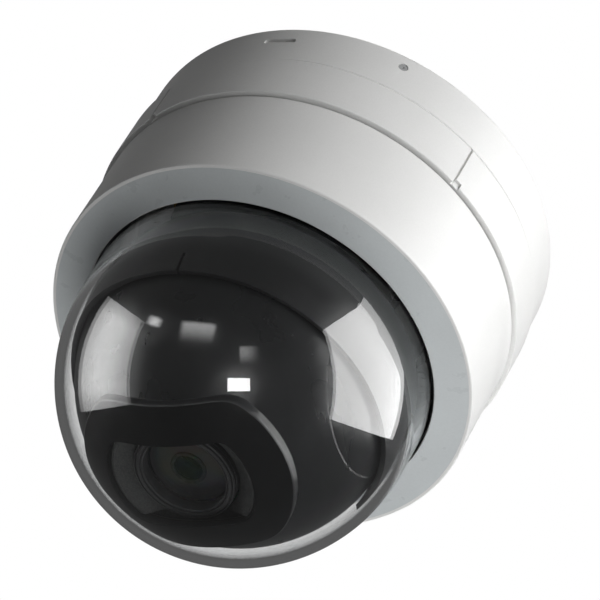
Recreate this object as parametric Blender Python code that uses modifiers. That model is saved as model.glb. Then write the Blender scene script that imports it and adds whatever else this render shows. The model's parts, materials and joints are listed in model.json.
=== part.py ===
"""A ceiling dome camera with motorised pan, tilt, zoom and focus, as separate assembled pieces.

The origin is the centre of the ceiling face. +Z points up into the ceiling, and the dome hangs below.
The camera ball tilts about X, and its lens looks straight down (-Z) at rest and swings towards -Y.
Sizes below are in millimetres, and the geometry is made in metres.
"""

import math

import bmesh
import bpy
from mathutils import Vector

MM = 0.001
GAP = 0.3  # clearance between pieces that touch or nearly touch

# Housing, from the ceiling face at height 0 down to the apex of the dome.
PLATE_RADIUS, PLATE_BOTTOM = 60.7, -2.5
BASE_RADIUS, BASE_BOTTOM = 64.0, -15.9
WEB_TOP, WEB_BOTTOM = PLATE_BOTTOM - GAP, -4.9
COLLAR_RADIUS, COLLAR_BORE = 65.0, 62.3
COLLAR_TOP, COLLAR_BOTTOM = BASE_BOTTOM - GAP, -33.5
SPIGOT_RADIUS, SPIGOT_BORE = COLLAR_BORE - GAP, 59.7
COVER_RADIUS, COVER_BORE = 63.7, 61.0
COVER_TOP, COVER_RIM = -34.2, -68.4
LIP_RADIUS, LIP_TOP, LIP_BOTTOM = 53.2, -66.9, -70.0

# Dome: a straight skirt and a hemisphere with one centre, on which the tilt axis lies too.
EYE = -84.1
DOME_RADIUS, DOME_BORE = 52.1, 49.5
FLANGE_RADIUS, FLANGE_TOP, FLANGE_BOTTOM = 57.0, -63.2, -65.2

# Cable entry, network socket and buttons.
CABLE_Y = 26.0
CABLE_HOLE_RADIUS = 12.0
JACK_SIZE, JACK_TOP, JACK_BOTTOM = (16.0, 13.5), -5.4, -24.1
SOCKET_SIZE, SOCKET_FLOOR = (12.0, 8.4), -18.5
RESET_AT = (-22.0, 24.0)
RELEASE_Z, RELEASE_WIDTH, RELEASE_HEIGHT = -6.3, 10.0, 2.0
LOCK_AZIMUTH, LOCK_Z = 123.7, -5.1

# Chassis and pan drive.
BOARD_TOP, BOARD_THICK, BOARD_RADIUS = -8.5, 1.6, 47.5
CHASSIS_TOP, CHASSIS_BOTTOM, CHASSIS_RADIUS = -24.5, -27.0, 57.0
POST_RING, POST_AZIMUTHS = 43.0, (30, 150, 270)
PAN_MODULE, PAN_TEETH, PAN_PINION_TEETH = 1.25, 44, 10
PAN_GEAR_TOP, PAN_GEAR_THICK = -27.8, 3.2
PAN_MOTOR_X = -PAN_MODULE * (PAN_TEETH + PAN_PINION_TEETH) / 2
SPINDLE_RADIUS, SPINDLE_BORE = 6.0, 4.2
TURNTABLE_TOP, TURNTABLE_BOTTOM, TURNTABLE_RADIUS = -31.3, -34.0, 43.0

# Yoke and shroud. Heights marked LIFT are measured upwards from the tilt axis.
ARM_INNER, ARM_OUTER, ARM_HALF_WIDTH = 39.4, 41.9, 10.0
FOOT_BOTTOM, FOOT_INNER = -36.5, 27.0
SHROUD_RADIUS, SHROUD_BORE = 48.6, 47.2
SHROUD_LOW_LIFT, SHROUD_HIGH_LIFT = -12.5, 17.0
SHROUD_FRONT_HALF = 31.5
SLIT_WIDTH, SLIT_HEIGHT = 0.8, 6.5
TILT_MODULE, TILT_TEETH, TILT_PINION_TEETH = 0.8, 24, 10
TILT_GEAR_START, TILT_GEAR_THICK = 36.0, 3.1
TILT_MOTOR_LIFT = TILT_MODULE * (TILT_TEETH + TILT_PINION_TEETH) / 2
PIVOT_RADIUS = 2.7

# Camera ball, nose and lens, about the tilt axis. The lens axis is local -Z.
BALL_RADIUS, BALL_BORE, BALL_HALF_WIDTH = 46.5, 44.3, 39.0
CHEEK_BORE, CHEEK_TOP_LIFT, CHEEK_RECESS = 45.1, 11.0, 44.6
SIDE_PLATE = (32.0, 34.0, 27.5)  # inner face, outer face and radius
NOSE_RADIUS, NOSE_HALF_HEIGHT, NOSE_FACE = 30.4, 24.0, 48.6
NOSE_WALL, NOSE_ROOT_LIFT = 2.6, -33.5
WINDOW_RADIUS, WINDOW_HALF_HEIGHT = 21.0, 13.3
BEZEL_LIFT, FUNNEL_LIFT = -39.3, -42.5
LENS_RADIUS, LENS_BORE, LENS_FRONT_LIFT = 14.8, 11.0, -40.0
GLASS_RADIUS, GLASS_APEX_LIFT = 12.3, -40.6
PUPIL_RADIUS = 3.9

# How finely round pieces are divided.
LARGE, MEDIUM, SMALL, TINY = 36, 24, 16, 8

# Colour, roughness and metallic value of each finish.
FINISHES = {
    "white_shell": ((0.84, 0.85, 0.86), 0.42, 0.0),
    "grey_plastic": ((0.45, 0.46, 0.47), 0.50, 0.0),
    "black_gloss": ((0.012, 0.012, 0.013), 0.12, 0.0),
    "black_matte": ((0.02, 0.02, 0.021), 0.55, 0.0),
    "rubber": ((0.03, 0.03, 0.03), 0.80, 0.0),
    "steel": ((0.62, 0.62, 0.60), 0.30, 1.0),
    "aluminium": ((0.75, 0.76, 0.77), 0.38, 1.0),
    "brass": ((0.78, 0.60, 0.28), 0.30, 1.0),
    "nylon": ((0.86, 0.84, 0.78), 0.55, 0.0),
    "circuit_board": ((0.02, 0.16, 0.07), 0.45, 0.0),
    "clear": ((0.95, 0.96, 0.97), 0.03, 0.0),
    "lens_glass": ((0.55, 0.60, 0.68), 0.02, 0.0),
}
SEE_THROUGH = ("clear", "lens_glass")


def clear_scene():
    for old in list(bpy.data.objects):
        bpy.data.objects.remove(old, do_unlink=True)


def new_collection(name):
    collection = bpy.data.collections.new(name)
    bpy.context.scene.collection.children.link(collection)
    return collection


def new_material(name, finish):
    colour, roughness, metallic = FINISHES[finish]
    material = bpy.data.materials.new(name)
    material.use_nodes = True
    shader = material.node_tree.nodes["Principled BSDF"]
    shader.inputs["Base Color"].default_value = (*colour, 1.0)
    shader.inputs["Roughness"].default_value = roughness
    shader.inputs["Metallic"].default_value = metallic
    if finish in SEE_THROUGH:
        shader.inputs["Transmission Weight"].default_value = 1.0
    return material


clear_scene()
PARTS = new_collection("dome_camera")
CUTTERS = new_collection("cutters")


def add_object(name, data, finish, at, turn, parent):
    """Places a shape. A shape with no finish is a cutter, which is never part of the camera."""
    piece = bpy.data.objects.new(name, data)
    piece.location = Vector(at) * MM
    piece.rotation_euler = [math.radians(angle) for angle in turn]
    piece.parent = parent
    if finish is None:
        CUTTERS.objects.link(piece)
        piece.hide_render = True
        piece.display_type = "WIRE"
    else:
        PARTS.objects.link(piece)
        data.materials.append(new_material(name, finish))
    return piece


def new_axis(name, at, parent=None):
    """An empty on a joint's axis, which carries the pieces that move about it."""
    axis = bpy.data.objects.new(name, None)
    axis.location = Vector(at) * MM
    axis.parent = parent
    PARTS.objects.link(axis)
    return axis


def bmesh_object(name, shape, finish, at, turn, parent):
    mesh = bpy.data.meshes.new(name)
    bmesh.ops.scale(shape, vec=(MM, MM, MM), verts=shape.verts)
    shape.to_mesh(mesh)
    shape.free()
    if finish is not None:
        mesh.shade_smooth()
        mesh.set_sharp_from_angle(angle=math.radians(35))
    return add_object(name, mesh, finish, at, turn, parent)


def box(name, size, finish=None, at=(0, 0, 0), turn=(0, 0, 0), parent=None):
    shape = bmesh.new()
    bmesh.ops.create_cube(shape, size=1.0)
    bmesh.ops.scale(shape, vec=size, verts=shape.verts)
    return bmesh_object(name, shape, finish, at, turn, parent)


def rod(name, radius, length, finish=None, at=(0, 0, 0), turn=(0, 0, 0), parent=None, steps=SMALL):
    """A plain cylinder along its own Z, centred on its place."""
    shape = bmesh.new()
    bmesh.ops.create_cone(
        shape, cap_ends=True, segments=steps, radius1=radius, radius2=radius, depth=length
    )
    return bmesh_object(name, shape, finish, at, turn, parent)


def turned(name, outline, finish=None, at=(0, 0, 0), turn=(0, 0, 0), parent=None, steps=LARGE):
    """Turns an outline of (radius, height) points, which runs down its outer side, about its own Z.

    An outline that starts and ends on the axis makes a solid; any other is closed and makes a ring.
    """
    mesh = bpy.data.meshes.new(name)
    points = [(radius * MM, 0.0, height * MM) for radius, height in outline]
    last = len(points) - 1
    edges = [(first, first + 1) for first in range(last)]
    if outline[0][0] > 0:
        edges.append((last, 0))
    mesh.from_pydata(points, edges, [])
    piece = add_object(name, mesh, finish, at, turn, parent)
    screw = piece.modifiers.new("turn", "SCREW")
    screw.steps = steps
    screw.render_steps = steps
    screw.use_merge_vertices = True
    screw.merge_threshold = 0.00001
    screw.use_smooth_shade = True
    return piece


def ring(name, bore, radius, top, bottom, finish=None, **place):
    outline = [(bore, top), (radius, top), (radius, bottom), (bore, bottom)]
    return turned(name, outline, finish, **place)


def arc(radius, start, end, count, centre=0.0):
    """Outline points on a circle centred on the axis, at angles from straight down, in degrees."""
    angles = [math.radians(start + (end - start) * step / count) for step in range(count + 1)]
    return [(radius * math.sin(angle), centre - radius * math.cos(angle)) for angle in angles]


def polar(radius, azimuth, height=0.0):
    angle = math.radians(azimuth)
    return (radius * math.cos(angle), radius * math.sin(angle), height)


def combine(piece, tool, operation):
    boolean = piece.modifiers.new(tool.name, "BOOLEAN")
    boolean.operation = operation
    boolean.solver = "EXACT"
    boolean.object = tool


def cut(piece, *tools):
    for tool in tools:
        combine(piece, tool, "DIFFERENCE")


def join(piece, *tools):
    for tool in tools:
        combine(piece, tool, "UNION")


def keep_inside(piece, tool):
    combine(piece, tool, "INTERSECT")


def poly_spline(curve, points):
    spline = curve.splines.new("POLY")
    spline.points.add(len(points) - 1)
    for place, (x, y) in zip(spline.points, points):
        place.co = (x * MM, y * MM, 0.0, 1.0)
    spline.use_cyclic_u = True


def gear(name, module, teeth, bore, thick, finish, at, turn=(0, 0, 0), parent=None, phase=0.0):
    """A spur gear along its own Z, with a tooth at the phase angle and generous backlash."""
    pitch_radius = module * teeth / 2
    root_radius = pitch_radius - 1.25 * module
    tip_radius = pitch_radius + 0.8 * module
    pitch_angle = 360.0 / teeth
    root_half, tip_half = 0.26 * pitch_angle, 0.10 * pitch_angle
    outline = []
    for tooth in range(teeth):
        middle = phase + tooth * pitch_angle
        corners = (
            (root_radius, middle - root_half),
            (tip_radius, middle - tip_half),
            (tip_radius, middle + tip_half),
            (root_radius, middle + root_half),
        )
        outline += [polar(radius, angle)[:2] for radius, angle in corners]
    curve = bpy.data.curves.new(name, "CURVE")
    curve.dimensions = "2D"
    curve.fill_mode = "BOTH"
    curve.extrude = thick / 2 * MM
    poly_spline(curve, outline)
    poly_spline(curve, [polar(bore, 360.0 * step / SMALL)[:2] for step in range(SMALL)])
    return add_object(name, curve, finish, at, turn, parent)


# ---------------------------------------------------------------- ceiling side


def make_mounting_plate():
    """The disc that is screwed to the ceiling, with its cable hole off centre."""
    outline = [(0, 0), (PLATE_RADIUS, 0), (PLATE_RADIUS, PLATE_BOTTOM), (0, PLATE_BOTTOM)]
    plate = turned("mounting_plate", outline, "steel")
    middle = PLATE_BOTTOM / 2
    hole_radius = CABLE_HOLE_RADIUS + 0.6
    cut(plate, rod("plate_cable_cut", hole_radius, 6, at=(0, CABLE_Y, middle), steps=MEDIUM))
    cut(plate, rod("plate_reset_cut", 2.4, 6, at=(*RESET_AT, middle), steps=TINY))
    for number in range(4):
        place = polar(46.0, 45 + 90 * number, middle)
        cut(plate, rod(f"plate_screw_cut_{number}", 2.3, 6, at=place, steps=TINY))


def make_base_housing():
    """The ceiling-side shell: a rim around the plate, a web under it and a spigot for the collar."""
    outline = [
        (0, WEB_TOP),
        (PLATE_RADIUS + GAP, WEB_TOP),
        (PLATE_RADIUS + GAP, 0),
        (BASE_RADIUS - 0.6, 0),
        (BASE_RADIUS, -0.6),
        (BASE_RADIUS, BASE_BOTTOM),
        (SPIGOT_RADIUS, BASE_BOTTOM),
        (SPIGOT_RADIUS, BASE_BOTTOM - 5.0),
        (SPIGOT_BORE, BASE_BOTTOM - 5.0),
        (SPIGOT_BORE, BASE_BOTTOM + 1.0),
        (COVER_BORE, BASE_BOTTOM + 2.0),
        (COVER_BORE, WEB_BOTTOM),
        (0, WEB_BOTTOM),
    ]
    base = turned("base_housing", outline, "white_shell")
    middle = (WEB_TOP + WEB_BOTTOM) / 2
    cut(base, rod("base_cable_cut", CABLE_HOLE_RADIUS, 6, at=(0, CABLE_Y, middle), steps=MEDIUM))
    cut(base, rod("base_reset_cut", 1.8, 6, at=(*RESET_AT, middle), steps=TINY))
    cut(base, obround("base_release_cut", RELEASE_WIDTH, RELEASE_HEIGHT, 8.0, None, 62.0))
    place, turn = polar(62.5, LOCK_AZIMUTH, LOCK_Z), (90, 0, LOCK_AZIMUTH - 90)
    cut(base, rod("base_lock_cut", 1.5, 6, at=place, turn=turn, steps=TINY))


def obround(name, width, height, depth, finish, y):
    """A bar with round ends, lying along X, that points along Y at the release button."""
    radius = height / 2
    reach = width / 2 - radius
    bar = box(name, (2 * reach, depth, height), finish, at=(0, y, RELEASE_Z))
    for side in (-1, 1):
        place = (side * reach, y, RELEASE_Z)
        join(bar, rod(f"{name}_end_{side}", radius, depth, at=place, turn=(90, 0, 0), steps=TINY))
    return bar


def make_release_button():
    """The sprung pad in the obround recess, which frees the housing from the mounting plate."""
    width, height = RELEASE_WIDTH - 2 * GAP, RELEASE_HEIGHT - 2 * GAP
    pad = obround("release_button", width, height, 5.6, "white_shell", 60.4)
    flange_height = 3.2
    flange_z = WEB_BOTTOM - GAP - flange_height / 2
    join(pad, box("release_flange", (12.4, 1.2, flange_height), at=(0, 59.6, flange_z)))


def make_lock_screw():
    outline = [(0, 1.6), (1.0, 1.6), (1.2, 1.4), (1.2, -1.6), (0, -1.6)]
    place = polar(62.0, LOCK_AZIMUTH, LOCK_Z)
    turn = (-90, 0, LOCK_AZIMUTH - 90)
    screw = turned("lock_screw", outline, "steel", at=place, turn=turn, steps=TINY)
    socket_place = polar(63.4, LOCK_AZIMUTH, LOCK_Z)
    cut(screw, rod("lock_socket_cut", 0.7, 2.4, at=socket_place, turn=turn, steps=6))


def make_cable_grommet():
    outline = [
        (10.0, -0.2),
        (CABLE_HOLE_RADIUS + 0.3, -0.2),
        (CABLE_HOLE_RADIUS + 0.3, WEB_TOP + GAP),
        (CABLE_HOLE_RADIUS - GAP, WEB_TOP + GAP),
        (CABLE_HOLE_RADIUS - GAP, WEB_BOTTOM),
        (10.0, WEB_BOTTOM),
    ]
    turned("cable_grommet", outline, "rubber", at=(0, CABLE_Y, 0), steps=MEDIUM)


def make_ethernet_jack():
    height = JACK_TOP - JACK_BOTTOM
    middle = (JACK_TOP + JACK_BOTTOM) / 2
    jack = box("ethernet_jack", (*JACK_SIZE, height), "steel", at=(0, CABLE_Y, middle))
    depth = JACK_TOP - SOCKET_FLOOR + 2.0
    mouth = SOCKET_FLOOR + depth / 2
    cut(jack, box("jack_socket_cut", (*SOCKET_SIZE, depth), at=(0, CABLE_Y, mouth)))


def make_reset_button():
    """A pin that a user pushes through the web on to a small switch on the main board."""
    outline = [(0, -3.1), (1.4, -3.1), (1.4, WEB_BOTTOM - GAP), (2.4, WEB_BOTTOM - GAP)]
    outline += [(2.4, -5.8), (1.0, -5.8), (1.0, -6.2), (0, -6.2)]
    turned("reset_button", outline, "grey_plastic", at=(*RESET_AT, 0), steps=TINY)
    switch_thick = 1.2
    place = (*RESET_AT, BOARD_TOP + GAP + switch_thick / 2)
    box("reset_switch", (4.5, 4.5, switch_thick), "black_matte", at=place)


# ---------------------------------------------------------------- collar, cover and dome


def make_collar_ring():
    """The widest ring, with four alignment slots that end in a small notch at the dome side."""
    outline = [
        (COLLAR_BORE, COLLAR_TOP),
        (COLLAR_RADIUS - 0.3, COLLAR_TOP),
        (COLLAR_RADIUS, COLLAR_TOP - 0.3),
        (COLLAR_RADIUS, COLLAR_BOTTOM + 0.3),
        (COLLAR_RADIUS - 0.3, COLLAR_BOTTOM),
        (COLLAR_BORE, COLLAR_BOTTOM),
    ]
    collar = turned("collar_ring", outline, "white_shell")
    slot_width, slot_depth, notch_width, notch_height = 0.7, 1.2, 2.0, 1.8
    notch_shift = math.degrees((slot_width + notch_width) / 2 / COLLAR_RADIUS)
    for number in range(4):
        azimuth = 59.6 + 90 * number
        place = polar(COLLAR_RADIUS - slot_depth + 2.0, azimuth, (COLLAR_TOP + COLLAR_BOTTOM) / 2)
        cut(collar, box(f"slot_cut_{number}", (4.0, slot_width, 20.0), at=place, turn=(0, 0, azimuth)))
        azimuth += notch_shift
        place = polar(COLLAR_RADIUS - slot_depth + 2.2, azimuth, COLLAR_BOTTOM)
        size = (4.0, notch_width + 0.2, 2 * notch_height)
        cut(collar, box(f"notch_cut_{number}", size, at=place, turn=(0, 0, azimuth)))


def make_lower_cover():
    """The drum round the dome: a spigot with a seal groove, a wall, and a sloping front lip."""
    groove_floor = SPIGOT_RADIUS - 1.1
    outline = [
        (SPIGOT_BORE, -29.5),
        (SPIGOT_RADIUS, -29.5),
        (SPIGOT_RADIUS, -31.0),
        (groove_floor, -31.0),
        (groove_floor, -32.6),
        (SPIGOT_RADIUS, -32.6),
        (SPIGOT_RADIUS, COVER_TOP),
        (COVER_RADIUS - 0.3, COVER_TOP),
        (COVER_RADIUS, COVER_TOP - 0.3),
        (COVER_RADIUS, COVER_RIM + 1.0),
        (COVER_RADIUS - 0.3, COVER_RIM + 0.3),
        (COVER_RADIUS - 1.0, COVER_RIM),
        (LIP_RADIUS + 0.4, LIP_BOTTOM),
        (LIP_RADIUS, LIP_BOTTOM + 0.4),
        (LIP_RADIUS, LIP_TOP),
        (COVER_BORE, LIP_TOP),
        (COVER_BORE, -37.5),
        (SPIGOT_BORE, -36.2),
    ]
    cover = turned("lower_cover", outline, "white_shell")
    for number, place in enumerate(retainer_screw_places(LIP_TOP)):
        cut(cover, rod(f"cover_screw_cut_{number}", 1.1, 2.4, at=place, steps=TINY))
    ring("cover_seal", groove_floor + GAP, SPIGOT_RADIUS + 0.05, -31.3, -32.3, "rubber")


def retainer_screw_places(height):
    return [polar(59.05, 10 + 120 * number, height) for number in range(3)]


def make_dome():
    """The clear bubble with its flange, the gasket in front of it and the ring that clamps it."""
    outline = arc(DOME_BORE, 0, 90, 7, EYE)
    outline += [(DOME_BORE, FLANGE_TOP), (FLANGE_RADIUS, FLANGE_TOP), (FLANGE_RADIUS, FLANGE_BOTTOM)]
    outline += [(DOME_RADIUS, FLANGE_BOTTOM)]
    outline += arc(DOME_RADIUS, 90, 0, 7, EYE)
    turned("dome_bubble", outline, "clear")

    gasket_bore = DOME_RADIUS + GAP
    gasket_lip = LIP_RADIUS - GAP
    gasket_outline = [
        (gasket_bore, FLANGE_BOTTOM - GAP),
        (FLANGE_RADIUS, FLANGE_BOTTOM - GAP),
        (FLANGE_RADIUS, LIP_TOP + GAP),
        (gasket_lip, LIP_TOP + GAP),
        (gasket_lip, LIP_BOTTOM + 0.7),
        (gasket_bore, LIP_BOTTOM + 0.7),
    ]
    turned("dome_gasket", gasket_outline, "rubber")

    bore, inner = 50.5, FLANGE_RADIUS + 0.4
    top, step = FLANGE_TOP + 2.3, FLANGE_TOP + GAP
    outline = [(bore, top), (COVER_BORE - GAP, top), (COVER_BORE - GAP, LIP_TOP + GAP)]
    outline += [(inner, LIP_TOP + GAP), (inner, step), (bore, step)]
    retainer = turned("dome_retainer", outline, "grey_plastic")
    for number, place in enumerate(retainer_screw_places(top - 3)):
        cut(retainer, rod(f"retainer_screw_cut_{number}", 1.1, 9.0, at=place, steps=TINY))

    seat = top + GAP
    screw = [(0, 1.0), (1.3, 1.0), (1.6, 0.6), (1.6, 0), (0.8, 0), (0.8, LIP_TOP - 0.9 - seat)]
    screw += [(0, LIP_TOP - 0.9 - seat)]
    for number, place in enumerate(retainer_screw_places(seat)):
        turned(f"retainer_screw_{number + 1}", screw, "steel", at=place, steps=TINY)


# ---------------------------------------------------------------- chassis and pan drive


def make_chassis():
    """The fixed deck that carries the pan bearing and motor, hung on three stepped posts."""
    middle = (CHASSIS_TOP + CHASSIS_BOTTOM) / 2
    thick = CHASSIS_TOP - CHASSIS_BOTTOM
    deck = rod("chassis_plate", CHASSIS_RADIUS, thick, "aluminium", at=(0, 0, middle), steps=LARGE)
    cut(deck, rod("deck_bush_cut", 9.2, 6, at=(0, 0, middle)))
    cut(deck, rod("deck_shaft_cut", 3.0, 6, at=(PAN_MOTOR_X, 0, middle), steps=TINY))
    board_middle = BOARD_TOP - BOARD_THICK / 2
    board_place = (0, 0, board_middle)
    board = rod("main_board", BOARD_RADIUS, BOARD_THICK, "circuit_board", at=board_place, steps=MEDIUM)
    jack_gap = (JACK_SIZE[0] + 1.4, JACK_SIZE[1] + 1.4, 6)
    cut(board, box("board_jack_cut", jack_gap, at=(0, CABLE_Y, board_middle)))
    shoulder = BOARD_TOP + GAP
    post = [
        (0, WEB_BOTTOM - GAP),
        (3.2, WEB_BOTTOM - GAP),
        (3.2, shoulder),
        (2.0, shoulder),
        (2.0, CHASSIS_TOP + GAP),
        (1.4, CHASSIS_TOP + GAP),
        (1.4, CHASSIS_BOTTOM - 1.5),
        (0, CHASSIS_BOTTOM - 1.5),
    ]
    for number, azimuth in enumerate(POST_AZIMUTHS):
        place = polar(POST_RING, azimuth)
        cut(board, rod(f"board_post_cut_{number}", 2.4, 6, at=(*place[:2], board_middle), steps=TINY))
        cut(deck, rod(f"deck_post_cut_{number}", 1.8, 6, at=(*place[:2], middle), steps=TINY))
        turned(f"chassis_post_{number + 1}", post, "brass", at=place, steps=TINY)


def make_pan_drive(pan_axis):
    """The fixed bush and motor, the pinion on its own axis, and the big gear that turns the head."""
    bush = [
        (SPINDLE_RADIUS + GAP, -22.4),
        (11.0, -22.4),
        (11.0, CHASSIS_TOP + GAP),
        (8.7, CHASSIS_TOP + GAP),
        (8.7, CHASSIS_BOTTOM),
        (SPINDLE_RADIUS + GAP, CHASSIS_BOTTOM),
    ]
    turned("pan_bushing", bush, "brass", steps=SMALL)

    motor_top, motor_bottom = -12.0, CHASSIS_TOP + GAP
    motor = [(0, motor_top), (9.4, motor_top), (10.0, motor_top - 0.6), (10.0, motor_bottom)]
    motor += [(1.8, motor_bottom), (1.8, -14.0), (0, -14.0)]
    turned("pan_motor", motor, "steel", at=(PAN_MOTOR_X, 0, 0), steps=SMALL)

    gear_middle = PAN_GEAR_TOP - PAN_GEAR_THICK / 2
    pinion_axis = new_axis("pan_pinion_axis", (PAN_MOTOR_X, 0, gear_middle))
    gear(
        "pan_pinion",
        PAN_MODULE,
        PAN_PINION_TEETH,
        1.8,
        PAN_GEAR_THICK,
        "brass",
        (0, 0, 0),
        parent=pinion_axis,
        phase=180.0 / PAN_PINION_TEETH,
    )
    shaft_top = -14.4
    shaft_length = shaft_top - (PAN_GEAR_TOP - PAN_GEAR_THICK)
    shaft_middle = shaft_top - shaft_length / 2 - gear_middle
    shaft_place = (0, 0, shaft_middle)
    rod("pan_motor_shaft", 1.5, shaft_length, "steel", at=shaft_place, parent=pinion_axis, steps=TINY)

    gear(
        "pan_gear",
        PAN_MODULE,
        PAN_TEETH,
        SPINDLE_RADIUS + GAP,
        PAN_GEAR_THICK,
        "nylon",
        (0, 0, gear_middle - EYE),
        parent=pan_axis,
        phase=180.0,
    )


def make_turntable(pan_axis):
    middle = (TURNTABLE_TOP + TURNTABLE_BOTTOM) / 2 - EYE
    thick = TURNTABLE_TOP - TURNTABLE_BOTTOM
    place = {"at": (0, 0, middle), "parent": pan_axis}
    table = rod("turntable", TURNTABLE_RADIUS, thick, "aluminium", steps=MEDIUM, **place)
    spindle_hole = SPINDLE_RADIUS + GAP
    cut(table, rod("table_spindle_cut", spindle_hole, 6, **place))

    flange_top = TURNTABLE_BOTTOM - GAP
    spindle = [
        (SPINDLE_BORE, -20.2),
        (SPINDLE_RADIUS, -20.2),
        (SPINDLE_RADIUS, flange_top),
        (11.0, flange_top),
        (11.0, flange_top - 1.5),
        (SPINDLE_BORE, flange_top - 1.5),
    ]
    turned("pan_spindle", spindle, "steel", at=(0, 0, -EYE), parent=pan_axis, steps=SMALL)
    from_top = {"at": (0, 0, -EYE), "parent": pan_axis}
    ring("spindle_clip", spindle_hole, 8.5, -20.9, -22.1, "steel", steps=SMALL, **from_top)


def make_yoke(pan_axis):
    """Two arms that hang from the turntable, each with a foot and a pivot pin."""
    thick = ARM_OUTER - ARM_INNER
    top = TURNTABLE_BOTTOM - GAP - EYE
    foot_low = FOOT_BOTTOM - EYE
    for side, word in ((-1, "left"), (1, "right")):
        arm_x = side * (ARM_INNER + ARM_OUTER) / 2
        arm_size = (thick, 2 * ARM_HALF_WIDTH, top)
        arm_place = (arm_x, 0, top / 2)
        arm = box(f"yoke_arm_{word}", arm_size, "aluminium", at=arm_place, parent=pan_axis)
        foot_x = side * (FOOT_INNER + ARM_OUTER - 0.5) / 2
        foot_size = (ARM_OUTER - 0.5 - FOOT_INNER, 2 * ARM_HALF_WIDTH - 1.0, top - foot_low)
        foot_place = (foot_x, 0, (top + foot_low) / 2)
        join(arm, box(f"foot_{word}", foot_size, at=foot_place, parent=pan_axis))
        across = {"at": (arm_x, 0, 0), "turn": (0, 90, 0), "parent": pan_axis}
        join(arm, rod(f"arm_end_{word}", ARM_HALF_WIDTH, thick, **across))
        cut(arm, rod(f"arm_bore_{word}", PIVOT_RADIUS + GAP, 8, **across))
        head = ARM_OUTER + GAP
        pin = [(0, head + 1.2), (4.0, head + 1.2), (4.5, head + 0.7), (4.5, head)]
        pin += [(PIVOT_RADIUS, head), (PIVOT_RADIUS, SIDE_PLATE[0] - 1.0), (0, SIDE_PLATE[0] - 1.0)]
        turned(f"tilt_pivot_{word}", pin, "steel", turn=(0, 90 * side, 0), parent=pan_axis, steps=SMALL)


def make_shroud(pan_axis):
    """The black band round the back and sides of the ball, open in front where the nose swings.

    A lug inside each end meets the yoke arm.
    """
    low = math.degrees(math.acos(-SHROUD_LOW_LIFT / SHROUD_RADIUS))
    high = math.degrees(math.acos(-SHROUD_HIGH_LIFT / SHROUD_RADIUS))
    outline = arc(SHROUD_RADIUS, high, low, 5) + arc(SHROUD_BORE, low, high, 5)
    shroud = turned("pan_shroud", outline, "black_gloss", parent=pan_axis)
    front_size = (2 * SHROUD_FRONT_HALF, 60.0, 60.0)
    cut(shroud, box("shroud_front_cut", front_size, at=(0, -30.0, 0), parent=pan_axis))
    slit_size = (SLIT_WIDTH, 12.0, 2 * SLIT_HEIGHT)
    cut(shroud, box("shroud_slit_cut", slit_size, at=(0, 46.0, SHROUD_LOW_LIFT), parent=pan_axis))
    lug_start, lug_end = ARM_OUTER + GAP, 45.2
    for side, word in ((-1, "left"), (1, "right")):
        lug_size = (lug_end - lug_start, 8.0, 3.6)
        lug_place = (side * (lug_start + lug_end) / 2, 0, 14.8)
        join(shroud, box(f"shroud_lug_{word}", lug_size, at=lug_place, parent=pan_axis))


def make_cheeks(pan_axis):
    """A cap over each arm's end that completes the ball's round outline but doesn't tilt."""
    start = BALL_HALF_WIDTH + GAP
    collar_start = ARM_OUTER + GAP
    collar_bore, collar = 5.2, 7.2
    outer_edge = math.degrees(math.acos(start / BALL_RADIUS))
    inner_edge = math.degrees(math.acos(start / CHEEK_BORE))
    collar_edge = math.degrees(math.asin(collar / CHEEK_BORE))
    outline = arc(BALL_RADIUS, 0, outer_edge, 5) + arc(CHEEK_BORE, inner_edge, collar_edge, 4)
    outline += [(collar, -collar_start), (collar_bore, -collar_start)]
    outline += [(collar_bore, -CHEEK_RECESS), (0, -CHEEK_RECESS)]
    slot_start, slot_end = ARM_INNER - 1.5, ARM_OUTER + 0.2
    slot = (slot_end - slot_start, 2 * ARM_HALF_WIDTH + 1.0, 60.0)
    above = (20.0, 60.0, 30.0)
    for side, word in ((-1, "left"), (1, "right")):
        place = {"turn": (0, -90 * side, 0), "parent": pan_axis, "steps": MEDIUM}
        cheek = turned(f"cheek_{word}", outline, "black_gloss", **place)
        slot_place = (side * (slot_start + slot_end) / 2, 0, slot[2] / 2)
        cut(cheek, box(f"cheek_slot_{word}", slot, at=slot_place, parent=pan_axis))
        above_place = (side * collar_start, 0, CHEEK_TOP_LIFT + above[2] / 2)
        cut(cheek, box(f"cheek_top_{word}", above, at=above_place, parent=pan_axis))


# ---------------------------------------------------------------- tilting ball


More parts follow.
